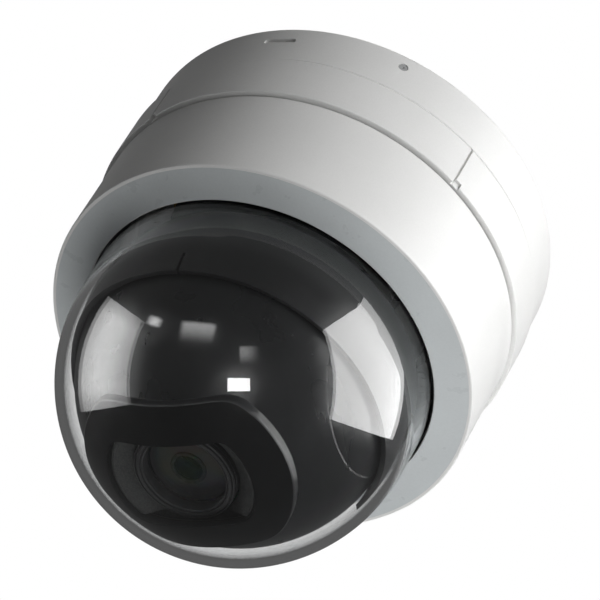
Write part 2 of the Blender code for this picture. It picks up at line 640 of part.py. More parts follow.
def make_tilt_drive(pan_axis, tilt_axis):
    """A gear fixed to the right arm, and a motor in the ball whose pinion walks round it."""
    gear_x = TILT_GEAR_START + TILT_GEAR_THICK / 2
    gear(
        "tilt_gear",
        TILT_MODULE,
        TILT_TEETH,
        PIVOT_RADIUS + GAP,
        TILT_GEAR_THICK,
        "nylon",
        (gear_x, 0, 0),
        (0, -90, 0),
        pan_axis,
    )
    motor_outer = SIDE_PLATE[0] - GAP
    motor_length = 13.0
    motor_place = (motor_outer - motor_length / 2, 0, TILT_MOTOR_LIFT)
    along_x = {"turn": (0, 90, 0), "parent": tilt_axis}
    motor = rod("tilt_motor", 6.0, motor_length, "steel", at=motor_place, **along_x)
    bore_place = (motor_outer, 0, TILT_MOTOR_LIFT)
    cut(motor, rod("tilt_motor_bore", 1.3, 8.0, at=bore_place, steps=TINY, **along_x))

    pinion_axis = new_axis("tilt_pinion_axis", (gear_x, 0, TILT_MOTOR_LIFT), tilt_axis)
    gear(
        "tilt_pinion",
        TILT_MODULE,
        TILT_PINION_TEETH,
        1.3,
        TILT_GEAR_THICK,
        "brass",
        (0, 0, 0),
        (0, -90, 0),
        pinion_axis,
        phase=180.0 / TILT_PINION_TEETH,
    )
    shaft_start = motor_outer - 3.6
    shaft_end = TILT_GEAR_START + TILT_GEAR_THICK
    shaft_place = ((shaft_start + shaft_end) / 2 - gear_x, 0, 0)
    rod(
        "tilt_motor_shaft",
        1.0,
        shaft_end - shaft_start,
        "steel",
        at=shaft_place,
        turn=(0, 90, 0),
        parent=pinion_axis,
        steps=TINY,
    )


def ball_half(name, half, tilt_axis):
    """Half of the barrel-shaped ball shell, turned about X: half is -1 below the axis, 1 above."""
    outer_edge = math.degrees(math.acos(BALL_HALF_WIDTH / BALL_RADIUS))
    inner_edge = math.degrees(math.acos(BALL_HALF_WIDTH / BALL_BORE))
    outline = arc(BALL_RADIUS, 180 - outer_edge, outer_edge, 8)
    outline += arc(BALL_BORE, inner_edge, 180 - inner_edge, 8)
    shell = turned(name, outline, "black_gloss", turn=(0, 90, 0), parent=tilt_axis, steps=32)
    side = 110.0
    lift = half * (side / 2 + GAP / 2)
    keep_inside(shell, box(f"{name}_half", (side, side, side), at=(0, 0, lift), parent=tilt_axis))
    return shell


def flat_sided(name, outline, half_height, tilt_axis):
    """A turned cutter about the lens axis, flattened to plus and minus half_height along Y."""
    tool = turned(name, outline, parent=tilt_axis, steps=MEDIUM)
    slab = box(f"{name}_flats", (140.0, 2 * half_height, 140.0), parent=tilt_axis)
    keep_inside(tool, slab)
    return tool


def capped_plug(radius, face, root_lift, count):
    """The outline of a plug about the lens axis that ends in a spherical face."""
    edge = math.degrees(math.asin(radius / face))
    return [(0, root_lift), (radius, root_lift)] + arc(face, edge, 0, count)


def make_ball(tilt_axis):
    """The ball's two shells. The front one carries the raised nose with the lens window."""
    front = ball_half("ball_front", -1, tilt_axis)
    nose = capped_plug(NOSE_RADIUS, NOSE_FACE, NOSE_ROOT_LIFT, 4)
    join(front, flat_sided("nose_form", nose, NOSE_HALF_HEIGHT, tilt_axis))
    bore = capped_plug(NOSE_RADIUS - NOSE_WALL - 0.3, NOSE_FACE - NOSE_WALL, -20.0, 4)
    cut(front, flat_sided("nose_bore", bore, NOSE_HALF_HEIGHT - NOSE_WALL, tilt_axis))
    window = [(0, -36.0), (WINDOW_RADIUS, -36.0), (WINDOW_RADIUS, -54.0), (0, -54.0)]
    cut(front, flat_sided("nose_window", window, WINDOW_HALF_HEIGHT, tilt_axis))

    rear = ball_half("ball_rear", 1, tilt_axis)
    cut(rear, rod("rear_cable_cut", 9.0, 20.0, at=(0, 0, BALL_BORE), parent=tilt_axis))

    inner, outer, radius = SIDE_PLATE
    thick = outer - inner
    along_x = {"turn": (0, 90, 0), "parent": tilt_axis}
    for side, word in ((-1, "left"), (1, "right")):
        place = (side * (inner + outer) / 2, 0, 0)
        plate = rod(f"ball_side_{word}", radius, thick, "black_matte", at=place, steps=MEDIUM, **along_x)
        cut(plate, rod(f"side_bore_{word}", PIVOT_RADIUS + GAP, 6, at=place, **along_x))
    shaft_place = (outer, 0, TILT_MOTOR_LIFT)
    cut(plate, rod("side_shaft_cut", 1.6, 6, at=shaft_place, steps=TINY, **along_x))


def make_lens(tilt_axis):
    """The lens: a stepped barrel, its front glass and ring, the pupil plate and the carrier."""
    barrel = [
        (6.0, -4.5),
        (13.4, -4.5),
        (13.4, -30.0),
        (LENS_RADIUS, -30.0),
        (LENS_RADIUS, LENS_FRONT_LIFT),
        (GLASS_RADIUS + GAP, LENS_FRONT_LIFT),
        (GLASS_RADIUS + GAP, -34.5),
        (LENS_BORE, -34.5),
        (LENS_BORE, -5.5),
        (6.0, -5.5),
    ]
    turned("lens_barrel", barrel, "black_matte", parent=tilt_axis, steps=MEDIUM)

    face_radius = 34.0
    edge = math.degrees(math.asin(GLASS_RADIUS / face_radius))
    glass = [(0, -34.9), (GLASS_RADIUS, -34.9)]
    glass += arc(face_radius, edge, 0, 4, GLASS_APEX_LIFT + face_radius)
    turned("front_glass", glass, "lens_glass", parent=tilt_axis, steps=MEDIUM)
    ring_top = LENS_FRONT_LIFT - GAP
    ring("lens_ring", 12.0, LENS_RADIUS, ring_top, -42.0, "black_gloss", parent=tilt_axis, steps=MEDIUM)
    iris_edge = LENS_BORE - GAP
    iris = (PUPIL_RADIUS, iris_edge, -33.4, -34.0)
    ring("iris_plate", *iris, "black_matte", parent=tilt_axis, steps=SMALL)

    carrier_place = (0, 0, -25.0)
    carrier = box("lens_carrier", (62.0, 32.0, 2.0), "black_matte", at=carrier_place, parent=tilt_axis)
    cut(carrier, rod("carrier_bore", 13.4 + GAP, 6, at=carrier_place, parent=tilt_axis, steps=MEDIUM))


def make_lens_group(word, middle, length, tilt_axis):
    """A sliding ring that carries one lens element inside the barrel."""
    half = length / 2
    place = {"at": (0, 0, middle), "parent": tilt_axis, "steps": SMALL}
    ring(f"{word}_cell", 8.0, LENS_BORE - GAP, half, -half, "black_matte", **place)
    element = [(0, 1.6), (4.5, 1.2), (7.7, 0.5), (7.7, -0.5), (4.5, -1.2), (0, -1.6)]
    turned(f"{word}_lens", element, "lens_glass", **place)


def make_sensor(tilt_axis):
    """The sliding filter behind the barrel, and the image sensor on its board."""
    box("filter_slide", (22.0, 11.0, 0.6), "lens_glass", at=(5.0, 0, -3.9), parent=tilt_axis)
    box("image_sensor", (9.0, 7.0, 1.4), "black_gloss", at=(0, 0, -2.3), parent=tilt_axis)
    box("sensor_board", (34.0, 30.0, 1.6), "circuit_board", at=(0, 0, -0.5), parent=tilt_axis)


def make_nose_insides(tilt_axis):
    """The funnel seen through the window round the lens, and the infrared light board behind it."""
    bore = LENS_RADIUS + 0.5
    turning = {"parent": tilt_axis, "steps": MEDIUM}
    bezel = ring("lens_bezel", bore, 23.5, -37.5, BEZEL_LIFT, "black_matte", **turning)
    keep_inside(bezel, box("bezel_flats", (80.0, 41.0, 20.0), at=(0, 0, -38.0), parent=tilt_axis))
    rim = WINDOW_RADIUS - GAP
    outline = [(bore, -38.0), (rim, -38.0), (rim, FUNNEL_LIFT), (bore, BEZEL_LIFT - 0.1)]
    funnel = turned("lens_funnel", outline, **turning)
    funnel_flats = (80.0, 2 * (WINDOW_HALF_HEIGHT - GAP), 20.0)
    keep_inside(funnel, box("funnel_flats", funnel_flats, at=(0, 0, -38.0), parent=tilt_axis))
    join(bezel, funnel)
    board = ring("ir_led_board", bore, 24.0, -34.0, -35.6, "circuit_board", **turning)
    keep_inside(board, box("led_board_flats", (80.0, 40.0, 20.0), at=(0, 0, -35.0), parent=tilt_axis))


def main():
    pan_axis = new_axis("pan_axis", (0, 0, EYE))
    tilt_axis = new_axis("tilt_axis", (0, 0, 0), pan_axis)
    make_mounting_plate()
    make_base_housing()
    make_release_button()
    make_lock_screw()
    make_cable_grommet()
    make_ethernet_jack()
    make_reset_button()
    make_collar_ring()
    make_lower_cover()
    make_dome()
    make_chassis()
    make_pan_drive(pan_axis)
    make_turntable(pan_axis)
    make_yoke(pan_axis)
    make_shroud(pan_axis)
    make_cheeks(pan_axis)
    make_tilt_drive(pan_axis, tilt_axis)
    make_ball(tilt_axis)
    make_lens(tilt_axis)
    make_lens_group("zoom", -28.5, 5.0, tilt_axis)
    make_lens_group("focus", -10.0, 4.0, tilt_axis)
    make_sensor(tilt_axis)
    make_nose_insides(tilt_axis)


main()
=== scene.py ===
import json
import math

import bmesh
import bpy
from mathutils import Matrix, Vector


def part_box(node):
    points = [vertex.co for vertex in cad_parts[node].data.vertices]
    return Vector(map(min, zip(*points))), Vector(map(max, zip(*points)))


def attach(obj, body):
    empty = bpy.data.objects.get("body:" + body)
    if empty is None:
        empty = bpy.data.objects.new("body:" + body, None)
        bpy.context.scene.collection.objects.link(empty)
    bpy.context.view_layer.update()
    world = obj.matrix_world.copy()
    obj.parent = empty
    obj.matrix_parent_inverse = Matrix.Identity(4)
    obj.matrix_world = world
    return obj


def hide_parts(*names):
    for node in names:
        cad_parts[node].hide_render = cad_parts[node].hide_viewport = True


# The looks of a ceiling dome camera, built round its CAD frame. The origin is the centre of the ceiling
# face, +Z points up into the ceiling, and the dome hangs below. Outlines are in millimetres.

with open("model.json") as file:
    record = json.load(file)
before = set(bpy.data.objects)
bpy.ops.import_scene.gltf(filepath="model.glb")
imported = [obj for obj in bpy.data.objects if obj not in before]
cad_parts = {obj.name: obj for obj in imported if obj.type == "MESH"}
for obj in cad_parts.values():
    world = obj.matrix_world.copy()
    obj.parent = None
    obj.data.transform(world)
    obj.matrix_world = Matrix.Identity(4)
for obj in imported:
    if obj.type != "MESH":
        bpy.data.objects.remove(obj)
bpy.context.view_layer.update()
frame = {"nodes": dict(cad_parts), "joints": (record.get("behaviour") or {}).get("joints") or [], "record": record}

MM = 0.001
TURN = 192  # steps round a large turned piece
GAP = 0.3  # clearance between pieces, as in the CAD
SPIGOT, SHELL_BORE, SHELL_INSIDE = 62.0, 59.7, 61.0  # radii the base housing and the cover share
LIP_TOP, COVER_RIM = -66.9, -68.4  # heights of the cover's lip inside and its rim outside
GASKET_STEP = -66.6  # underside of the gasket's flange and the clamp ring, just above the lip
PAD_HEIGHT = -6.3  # middle of the release pad
EYE = [joint for joint in frame["joints"] if joint["name"] == "tilt"][0]["pos_m"][2] / MM


def corners(node):
    """A CAD node's lowest and highest corners, in millimetres."""
    low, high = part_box(node)
    return low / MM, high / MM


def centre_of(node):
    """The centre of a CAD node's box, in millimetres."""
    return [(low + high) / 2 for low, high in zip(*corners(node))]


CABLE_Y = centre_of("cable_grommet")[1]
RESET_AT = centre_of("reset_button")[:2]


# ---- mesh tools


def finish_mesh(mesh, angle=35):
    mesh.shade_smooth()
    mesh.set_sharp_from_angle(angle=math.radians(angle))


def new_piece(name, mesh, *materials):
    piece = bpy.data.objects.new(name, mesh)
    bpy.context.scene.collection.objects.link(piece)
    for material in materials:
        mesh.materials.append(material)
    return piece


def from_faces(name, points, faces, *materials):
    """A mesh piece from points in millimetres."""
    mesh = bpy.data.meshes.new(name)
    mesh.from_pydata([tuple(value * MM for value in point) for point in points], [], faces)
    shape = bmesh.new()
    shape.from_mesh(mesh)
    bmesh.ops.remove_doubles(shape, verts=shape.verts, dist=1e-7)
    bmesh.ops.recalc_face_normals(shape, faces=shape.faces)
    shape.to_mesh(mesh)
    shape.free()
    finish_mesh(mesh)
    return new_piece(name, mesh, *materials)


def rounded(outline, steps=4):
    """Rounds the corners of a closed outline: a corner (x, y, radius) becomes an arc."""
    result = []
    count = len(outline)
    for index, corner in enumerate(outline):
        here = Vector(corner[:2])
        radius = corner[2] if len(corner) > 2 else 0.0
        before = Vector(outline[index - 1][:2]) - here
        after = Vector(outline[(index + 1) % count][:2]) - here
        if radius <= 0 or before.length < 1e-6 or after.length < 1e-6:
            result.append(tuple(here))
            continue
        before_way, after_way = before.normalized(), after.normalized()
        half = before_way.angle(after_way) / 2
        reach = min(radius / math.tan(half), 0.49 * before.length, 0.49 * after.length)
        start, end = here + before_way * reach, here + after_way * reach
        for step in range(steps + 1):
            share = step / steps
            bend = start.lerp(here, share).lerp(here.lerp(end, share), share)
            result.append(tuple(bend))
    return result


def turned(name, outline, *materials, steps=TURN, at=(0, 0, 0), turn=(0, 0, 0), faces=None):
    """Turns a closed outline of (radius, height, corner radius) about an axis along Z."""
    outline = rounded(outline)
    place = Matrix.Translation(at) @ euler(turn)
    points, polygons = [], []
    for step in range(steps):
        angle = math.tau * step / steps
        for radius, height in outline:
            points.append(place @ Vector((radius * math.cos(angle), radius * math.sin(angle), height)))
    count = len(outline)
    for step in range(steps):
        here, there = step * count, (step + 1) % steps * count
        for index in range(count):
            after = (index + 1) % count
            if outline[index][0] < 1e-6 and outline[after][0] < 1e-6:
                continue
            polygons.append((here + index, there + index, there + after, here + after))
    piece = from_faces(name, points, polygons, *materials)
    if faces is not None:
        for polygon in piece.data.polygons:
            polygon.material_index = faces(polygon.center / MM)
    weigh_normals(piece)
    return piece


def euler(turn):
    return Matrix.Rotation(math.radians(turn[2]), 4, "Z") @ (
        Matrix.Rotation(math.radians(turn[1]), 4, "Y") @ Matrix.Rotation(math.radians(turn[0]), 4, "X")
    )


def weigh_normals(piece):
    """Shades broad faces flat and lets only the rounded edges turn the light."""
    weights = piece.modifiers.new("normals", "WEIGHTED_NORMAL")
    weights.keep_sharp = True
    weights.weight = 60


def prism(name, outline, bottom, top, *materials, at=(0, 0, 0), turn=(0, 0, 0), bevel=0.0):
    """An upright bar on a closed outline of (x, y, corner radius), with eased edges."""
    outline = rounded(outline)
    place = Matrix.Translation(at) @ euler(turn)
    count = len(outline)
    points = [place @ Vector((x, y, bottom)) for x, y in outline]
    points += [place @ Vector((x, y, top)) for x, y in outline]
    faces = [tuple(reversed(range(count))), tuple(range(count, 2 * count))]
    faces += [(i, (i + 1) % count, (i + 1) % count + count, i + count) for i in range(count)]
    piece = from_faces(name, points, faces, *materials)
    if bevel:
        ease(piece, bevel)
    return piece


def block(name, low, high, *materials, at=(0, 0, 0), turn=(0, 0, 0), bevel=0.0):
    outline = [(low[0], low[1]), (high[0], low[1]), (high[0], high[1]), (low[0], high[1])]
    return prism(name, outline, low[2], high[2], *materials, at=at, turn=turn, bevel=bevel)


def circle(radius, steps=48, centre=(0, 0)):
    angles = [math.tau * step / steps for step in range(steps)]
    return [(centre[0] + radius * math.cos(a), centre[1] + radius * math.sin(a)) for a in angles]


def ease(piece, width, segments=2, angle=40):
    """Rounds a piece's sharp edges."""
    bevel = piece.modifiers.new("eased edges", "BEVEL")
    bevel.width = width * MM
    bevel.segments = segments
    bevel.limit_method = "ANGLE"
    bevel.angle_limit = math.radians(angle)
    bevel.use_clamp_overlap = True
    bevel.harden_normals = False
    weigh_normals(piece)


def cut(piece, *tools, operation="DIFFERENCE"):
    """Cuts tools out of a piece, applies the cuts and removes the tools."""
    for old in [m for m in piece.modifiers if m.type == "WEIGHTED_NORMAL"]:
        piece.modifiers.remove(old)
    for tool in tools:
        boolean = piece.modifiers.new("cut", "BOOLEAN")
        boolean.operation = operation
        boolean.solver = "EXACT"
        boolean.object = tool
        bake(piece)
        bpy.data.objects.remove(tool)
    finish_mesh(piece.data)


def bake(piece):
    """Applies a piece's modifiers to its mesh."""
    shaped = piece.evaluated_get(bpy.context.evaluated_depsgraph_get())
    mesh = bpy.data.meshes.new_from_object(shaped)
    piece.modifiers.clear()
    piece.data = mesh


def joined(name, *pieces):
    """One piece from several that don't need a clean union."""
    shape = bmesh.new()
    materials = []
    for piece in pieces:
        bpy.context.view_layer.update()
        shaped = piece.evaluated_get(bpy.context.evaluated_depsgraph_get()).to_mesh()
        start = len(shape.faces)
        shape.from_mesh(shaped)
        shape.faces.ensure_lookup_table()
        slots = []
        for material in piece.data.materials:
            if material not in materials:
                materials.append(material)
            slots.append(materials.index(material))
        for face in shape.faces[start:]:
            face.material_index = slots[face.material_index] if slots else 0
        bpy.data.objects.remove(piece)
    mesh = bpy.data.meshes.new(name)
    shape.to_mesh(mesh)
    shape.free()
    piece = new_piece(name, mesh, *materials)
    finish_mesh(mesh)
    weigh_normals(piece)
    return piece


def polar(radius, azimuth, height=0.0):
    angle = math.radians(azimuth)
    return Vector((radius * math.cos(angle), radius * math.sin(angle), height))


def obround(width, height):
    """An outline with round ends along X."""
    radius = height / 2
    reach = width / 2 - radius
    points = []
    for side, start in ((1, -90), (-1, 90)):
        for step in range(17):
            angle = math.radians(start + 180 * step / 16)
            points.append((side * reach + radius * math.cos(angle), radius * math.sin(angle)))
    return points


# ---- finishes


class Finish:
    """A node material that is built up in steps. Detail sizes are in millimetres."""

    def __init__(self, name, colour, roughness, metallic=0.0, **sockets):
        self.material = bpy.data.materials.new(name)
        self.material.use_nodes = True
        self.tree = self.material.node_tree
        self.shader = self.tree.nodes["Principled BSDF"]
        self.place = self.node("TexCoord").outputs["Object"]
        self.colour = (*colour, 1.0)
        self.set("Base Color", self.colour)
        self.set("Roughness", roughness)
        self.set("Metallic", metallic)
        for key, value in sockets.items():
            self.set(key.replace("_", " "), value)

    def set(self, socket, value):
        self.put(self.shader.inputs[socket], value)

    def put(self, socket, value):
        if isinstance(value, bpy.types.NodeSocket):
            self.tree.links.new(value, socket)
        else:
            socket.default_value = value

    def node(self, kind, settings=None, **inputs):
        node = self.tree.nodes.new("ShaderNode" + kind)
        for key, value in (settings or {}).items():
            setattr(node, key, value)
        for key, value in inputs.items():
            self.put(node.inputs[key.replace("_", " ")], value)
        return node

    def stretched(self, scale):
        """The place on the piece, stretched along each axis."""
        return self.node("Mapping", Vector=self.place, Scale=scale).outputs["Vector"]

    def around(self):
        """Distance from the Z axis, angle round it and height."""
        parts = self.node("SeparateXYZ", Vector=self.place)
        x, y, z = (parts.outputs[axis] for axis in "XYZ")
        angle = self.math("ARCTAN2", y, x)
        radius = self.math("SQRT", self.math("ADD", self.math("MULTIPLY", x, x), self.math("MULTIPLY", y, y)))
        return radius, angle, z

    def math(self, operation, first, second=0.0, third=0.0):
        node = self.node("Math", {"operation": operation})
        for socket, value in zip(node.inputs, (first, second, third)):
            self.put(socket, value)
        return node.outputs[0]

    def noise(self, size, detail=2.0, place=None, roughness=0.5, distortion=0.0):
        return self.node(
            "TexNoise",
            Vector=place or self.place,
            Scale=1.0 / (size * MM),
            Detail=detail,
            Roughness=roughness,
            Distortion=distortion,
        ).outputs["Fac"]

    def cells(self, size, randomness=1.0):
        cells = self.node("TexVoronoi", Vector=self.place, Scale=1.0 / (size * MM), Randomness=randomness)
        return cells.outputs["Distance"]

    def between(self, value, low, high, start=0.3, end=0.7):
        """Maps a value from start and end, which suit a noise, to low and high."""
        node = self.node("MapRange", {"clamp": True}, Value=value)
        for key, number in (("From Min", start), ("From Max", end), ("To Min", low), ("To Max", high)):
            self.put(node.inputs[key], number)
        return node.outputs["Result"]

    def mixed(self, share, first, second, blend="MIX"):
        node = self.node("Mix", {"data_type": "RGBA", "blend_type": blend})
        colours = [(*c, 1.0) if isinstance(c, tuple) and len(c) == 3 else c for c in (first, second)]
        factor, colour_a, colour_b, colour_result = 0, 6, 7, 2  # a colour mix's places among the sockets
        for number, value in zip((factor, colour_a, colour_b), (share, *colours)):
            self.put(node.inputs[number], value)
        return node.outputs[colour_result]

    def raise_by(self, height, depth, strength=1.0):
        """Adds surface relief of a depth in millimetres."""
        bump = self.node("Bump", Height=height, Distance=depth * MM, Strength=strength)
        socket = self.shader.inputs["Normal"]
        if socket.is_linked:
            self.put(bump.inputs["Normal"], socket.links[0].from_socket)
        self.put(socket, bump.outputs["Normal"])

    def worn(self, share, colour):
        """Lets another colour show along sharp edges."""
        edge = self.node("NewGeometry").outputs["Pointiness"]
        amount = self.math("MULTIPLY", self.between(edge, 0.0, 1.0, 0.53, 0.62), share)
        speckled = self.math("MULTIPLY", amount, self.between(self.noise(1.2, 4.0), 0.3, 1.0, 0.4, 0.6))
        base = self.shader.inputs["Base Color"]
        under = base.links[0].from_socket if base.is_linked else self.colour
        self.set("Base Color", self.mixed(speckled, under, colour))


def moulded(name, colour, roughness, grain=0.28, depth=0.006, shift=0.03, **sockets):
    """Moulded plastic: a fine sparked grain, slow changes of tone and slight polish marks."""
    finish = Finish(name, colour, roughness, **sockets)
    tone = finish.between(finish.noise(14.0, 3.0), 1.0 - shift, 1.0 + shift)
    fine = finish.between(finish.noise(grain * 1.5, 2.0), 0.985, 1.015)
    share = finish.math("MULTIPLY", tone, fine)
    grey = finish.node("CombineColor", Red=share, Green=share, Blue=share).outputs[0]
    finish.set("Base Color", finish.mixed(1.0, finish.colour, grey, "MULTIPLY"))
    polish = finish.between(finish.noise(6.0, 4.0), roughness * 0.88, roughness * 1.14)
    finish.set("Roughness", polish)
    finish.raise_by(finish.noise(grain, 3.0), depth)
    return finish


def white_plastic():
    finish = moulded("white_shell", (0.83, 0.83, 0.82), 0.42, grain=0.32, depth=0.008, shift=0.012)
    finish.worn(0.25, (0.90, 0.90, 0.89))
    return finish.material


def lip_plastic_painted_shade():
    """The cover's front face: the same plastic, polished in the mould; its darker, bluer colour is painted shade
    and a painted bluish reflection.
    """
    finish = moulded("lip_face_painted_shade", (0.61, 0.645, 0.655), 0.30, grain=0.5, depth=0.004, shift=0.02)
    return finish.material


def gloss_black(name, roughness, level=0.009, shine=0.5):
    """Smooth black plastic with slow changes of tone and a trace of wipe marks in its gloss."""
    dark = (level, level * 1.04, level * 1.10)
    finish = Finish(name, dark, roughness, IOR=1.5, Specular_IOR_Level=shine)
    wipes = finish.noise(14.0, 3.0, finish.stretched((1.0, 0.35, 1.0)), 0.5, 0.3)
    finish.set("Roughness", finish.between(wipes, roughness * 0.95, roughness * 1.06))
    tone = finish.between(finish.noise(20.0, 2.0), 0.0, 1.0, 0.35, 0.65)
    finish.set("Base Color", finish.mixed(tone, tuple(c * 0.85 for c in dark), tuple(c * 1.15 for c in dark)))
    return finish.material


def matte_black():
    """Black plastic with a coarse spark grain that catches the light."""
    finish = Finish("black_matte", (0.03, 0.031, 0.031), 0.5, IOR=1.5)
    speck = finish.cells(0.42)
    tone = finish.between(speck, 0.0, 1.0, 0.1, 0.7)
    finish.set("Base Color", finish.mixed(tone, (0.036, 0.037, 0.036), (0.013, 0.014, 0.014)))
    finish.set("Roughness", finish.between(finish.noise(3.0, 4.0), 0.42, 0.62))
    finish.raise_by(speck, 0.05, 0.5)
    finish.raise_by(finish.noise(0.18, 2.0), 0.01, 0.5)
    return finish.material


def clear_plastic():
    """Clear hard-coated polycarbonate, with a breath of dust and wipe marks in its gloss."""
    finish = Finish("clear_dome", (0.99, 0.995, 0.995), 0.0, IOR=1.55)
    finish.set("Transmission Weight", 1.0)
    dust = finish.noise(5.0, 6.0, None, 0.65, 0.3)
    finish.set("Roughness", finish.between(dust, 0.0, 0.012, 0.55, 0.85))
    tint = finish.between(finish.noise(30.0, 2.0), 0.0, 1.0)
    finish.set("Base Color", finish.mixed(tint, (0.985, 0.992, 0.992), (0.995, 0.998, 0.998)))
    return finish.material


def coated_glass(name, film, tint=(0.97, 0.98, 0.98)):
    """Lens glass with a thin coating, whose colour drifts across the surface."""
    finish = Finish(name, tint, 0.0, IOR=1.6)
    finish.set("Transmission Weight", 1.0)
    finish.set("Thin Film IOR", 1.38)
    drift = finish.between(finish.noise(9.0, 1.0), film * 0.8, film * 1.25)
    finish.set("Thin Film Thickness", drift)
    finish.set("Roughness", finish.between(finish.noise(2.0, 4.0), 0.0, 0.015, 0.5, 0.8))
    return finish.material


def rubber():
    """Soft black rubber with fine pits and a pale bloom."""
    finish = Finish("seal_rubber", (0.015, 0.015, 0.016), 0.62)
    bloom = finish.between(finish.noise(2.5, 5.0), 0.0, 1.0, 0.35, 0.75)
    finish.set("Base Color", finish.mixed(bloom, (0.012, 0.012, 0.013), (0.034, 0.034, 0.036)))
    finish.set("Roughness", finish.between(finish.noise(1.0, 3.0), 0.52, 0.74))
    finish.raise_by(finish.noise(0.22, 3.0), 0.02, 0.6)
    return finish.material


def plated_steel(name="steel", colour=(0.56, 0.57, 0.58), roughness=0.30, streak=(1.0, 1.0, 0.06)):
    """Zinc-plated or turned steel, with fine streaks and slow changes of tone."""
    finish = Finish(name, colour, roughness, 1.0)
    streaks = finish.noise(0.35, 3.0, finish.stretched(streak))
    finish.set("Roughness", finish.between(streaks, roughness * 0.7, roughness * 1.35))
    spangle = finish.cells(3.2)
    darker = tuple(part * 0.82 for part in colour)
    finish.set("Base Color", finish.mixed(finish.between(spangle, 0.0, 1.0, 0.1, 0.8), colour, darker))
    finish.raise_by(streaks, 0.008, 0.4)
    return finish.material


def turned_metal(name, colour, roughness, pitch=0.12):
    """Metal with the fine rings that a lathe leaves about the Z axis."""
    finish = Finish(name, colour, roughness, 1.0)
    radius, angle, height = finish.around()
    flat = finish.node("CombineXYZ", X=radius, Y=finish.math("MULTIPLY", angle, 0.0004), Z=height)
    rings = finish.noise(pitch, 2.0, flat.outputs[0])
    finish.set("Roughness", finish.between(rings, roughness * 0.75, roughness * 1.4))
    darker = tuple(part * 0.86 for part in colour)
    finish.set("Base Color", finish.mixed(finish.between(finish.noise(4.0, 4.0), 0.0, 1.0), darker, colour))
    finish.raise_by(rings, 0.01, 0.5)
    return finish.material


def nylon():
    """Milky gear nylon, a little waxy."""
    finish = moulded("nylon", (0.74, 0.72, 0.65), 0.40, grain=0.6, depth=0.008, shift=0.03)
    finish.set("Subsurface Weight", 0.15)
    finish.set("Subsurface Radius", (0.002, 0.0018, 0.0012))
    return finish.material


def circuit_board():
    """Green solder mask over copper tracks, with tinned pads."""
    finish = Finish("circuit_board", (0.02, 0.16, 0.07), 0.32)
    pattern = {"offset": 0.37, "squash": 0.6, "squash_frequency": 3}
    tracks = finish.node(
        "TexBrick", pattern, Vector=finish.place, Scale=320.0,
        Mortar_Size=0.06, Mortar_Smooth=0.3, Brick_Width=0.9, Row_Height=0.42,
    )
    line = tracks.outputs["Fac"]
    pads = finish.between(finish.cells(2.4, randomness=0.55), 1.0, 0.0, 0.10, 0.13)
    mask = finish.mixed(line, (0.013, 0.125, 0.055), (0.03, 0.22, 0.10))
    finish.set("Base Color", finish.mixed(pads, mask, (0.78, 0.76, 0.70)))
    finish.set("Metallic", pads)
    finish.set("Roughness", finish.between(finish.noise(3.0, 4.0), 0.24, 0.42))
    finish.raise_by(line, 0.03, 0.6)
    finish.raise_by(pads, 0.03, 0.8)
    return finish.material


def sensor_glass():
    """The image sensor: a dark square of fine diffracting rows under glass."""
    finish = Finish("sensor_glass", (0.03, 0.035, 0.045), 0.12, 0.4, IOR=1.6)
    rows = finish.node("TexWave", {"bands_direction": "X"}, Vector=finish.place, Scale=900.0).outputs["Fac"]
    finish.set("Base Color", finish.mixed(rows, (0.02, 0.022, 0.03), (0.07, 0.05, 0.09)))
    finish.set("Roughness", finish.between(finish.noise(1.5, 3.0), 0.08, 0.2))
    return finish.material


WHITE = white_plastic()
# The lip face's darker, bluish colour is painted shade and a painted bluish reflection.
LIP_PAINTED_SHADE = lip_plastic_painted_shade()
GLOSS = gloss_black("black_gloss", 0.28, 0.012)
SHROUD_GLOSS = gloss_black("shroud_gloss", 0.36, 0.008, 0.7)
NOSE = gloss_black("nose_satin", 0.50, 0.003, 0.14)
NOSE_EDGE = gloss_black("nose_edge", 0.36, 0.012, 0.9)
PUPIL_RIM = gloss_black("pupil_rim", 0.10, 0.012, 0.8)
MATTE = matte_black()
BARREL = moulded("barrel_black", (0.02, 0.02, 0.021), 0.45, grain=0.15, depth=0.006, shift=0.10).material
GREY = moulded("grey_plastic", (0.27, 0.275, 0.28), 0.45, shift=0.05).material
SCREW_GREY = moulded("screw_grey", (0.40, 0.405, 0.41), 0.5, shift=0.04).material
# Near-black plastic for the turntable: painted shade over a part that sits in shade inside the housing.
DARK_PAINTED_SHADE_PART = moulded("painted_shade_part", (0.028, 0.028, 0.03), 0.38, grain=0.2, depth=0.008, shift=0.12).material
CLEAR = clear_plastic()
FRONT_GLASS = coated_glass("front_glass", 420.0)
INNER_GLASS = coated_glass("inner_glass", 520.0, (0.90, 0.94, 0.97))
RUBBER = rubber()
STEEL = plated_steel()
SCREW_STEEL = turned_metal("screw_steel", (0.46, 0.47, 0.48), 0.33)
ALUMINIUM = plated_steel("aluminium", (0.76, 0.77, 0.78), 0.36, (0.08, 1.0, 1.0))
BRASS = turned_metal("brass", (0.72, 0.52, 0.24), 0.30)
NYLON = nylon()
BOARD = circuit_board()
SENSOR = sensor_glass()
GOLD = turned_metal("gold_contact", (0.86, 0.66, 0.30), 0.22)

# The turntable's near-black colour is painted shade.
NODE_FINISHES = {"turntable": DARK_PAINTED_SHADE_PART, "image_sensor": SENSOR}
CAD_FINISHES = {
    "white_shell": WHITE,
    "clear_dome": CLEAR,
    "black_gloss": GLOSS,
    "black_matte": MATTE,
    "grey_plastic": GREY,
    "seal_rubber": RUBBER,
    "steel": STEEL,
    "aluminium": ALUMINIUM,
    "brass": BRASS,
    "nylon": NYLON,
    "circuit_board": BOARD,
    "lens_glass": INNER_GLASS,
}

BODY_OF = {node: body for body, nodes in frame["record"]["behaviour"]["bodies"].items() for node in nodes}
SLOT_OF = {part["node"]: part["material_slot"] for part in frame["record"]["subparts"]}
REPLACED = set()


def stands_for(piece, *nodes):
    """The piece moves with these CAD nodes' body and replaces them."""
    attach(piece, BODY_OF[nodes[0]])
    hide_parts(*nodes)
    REPLACED.update(nodes)
    return piece


# ---- ceiling side


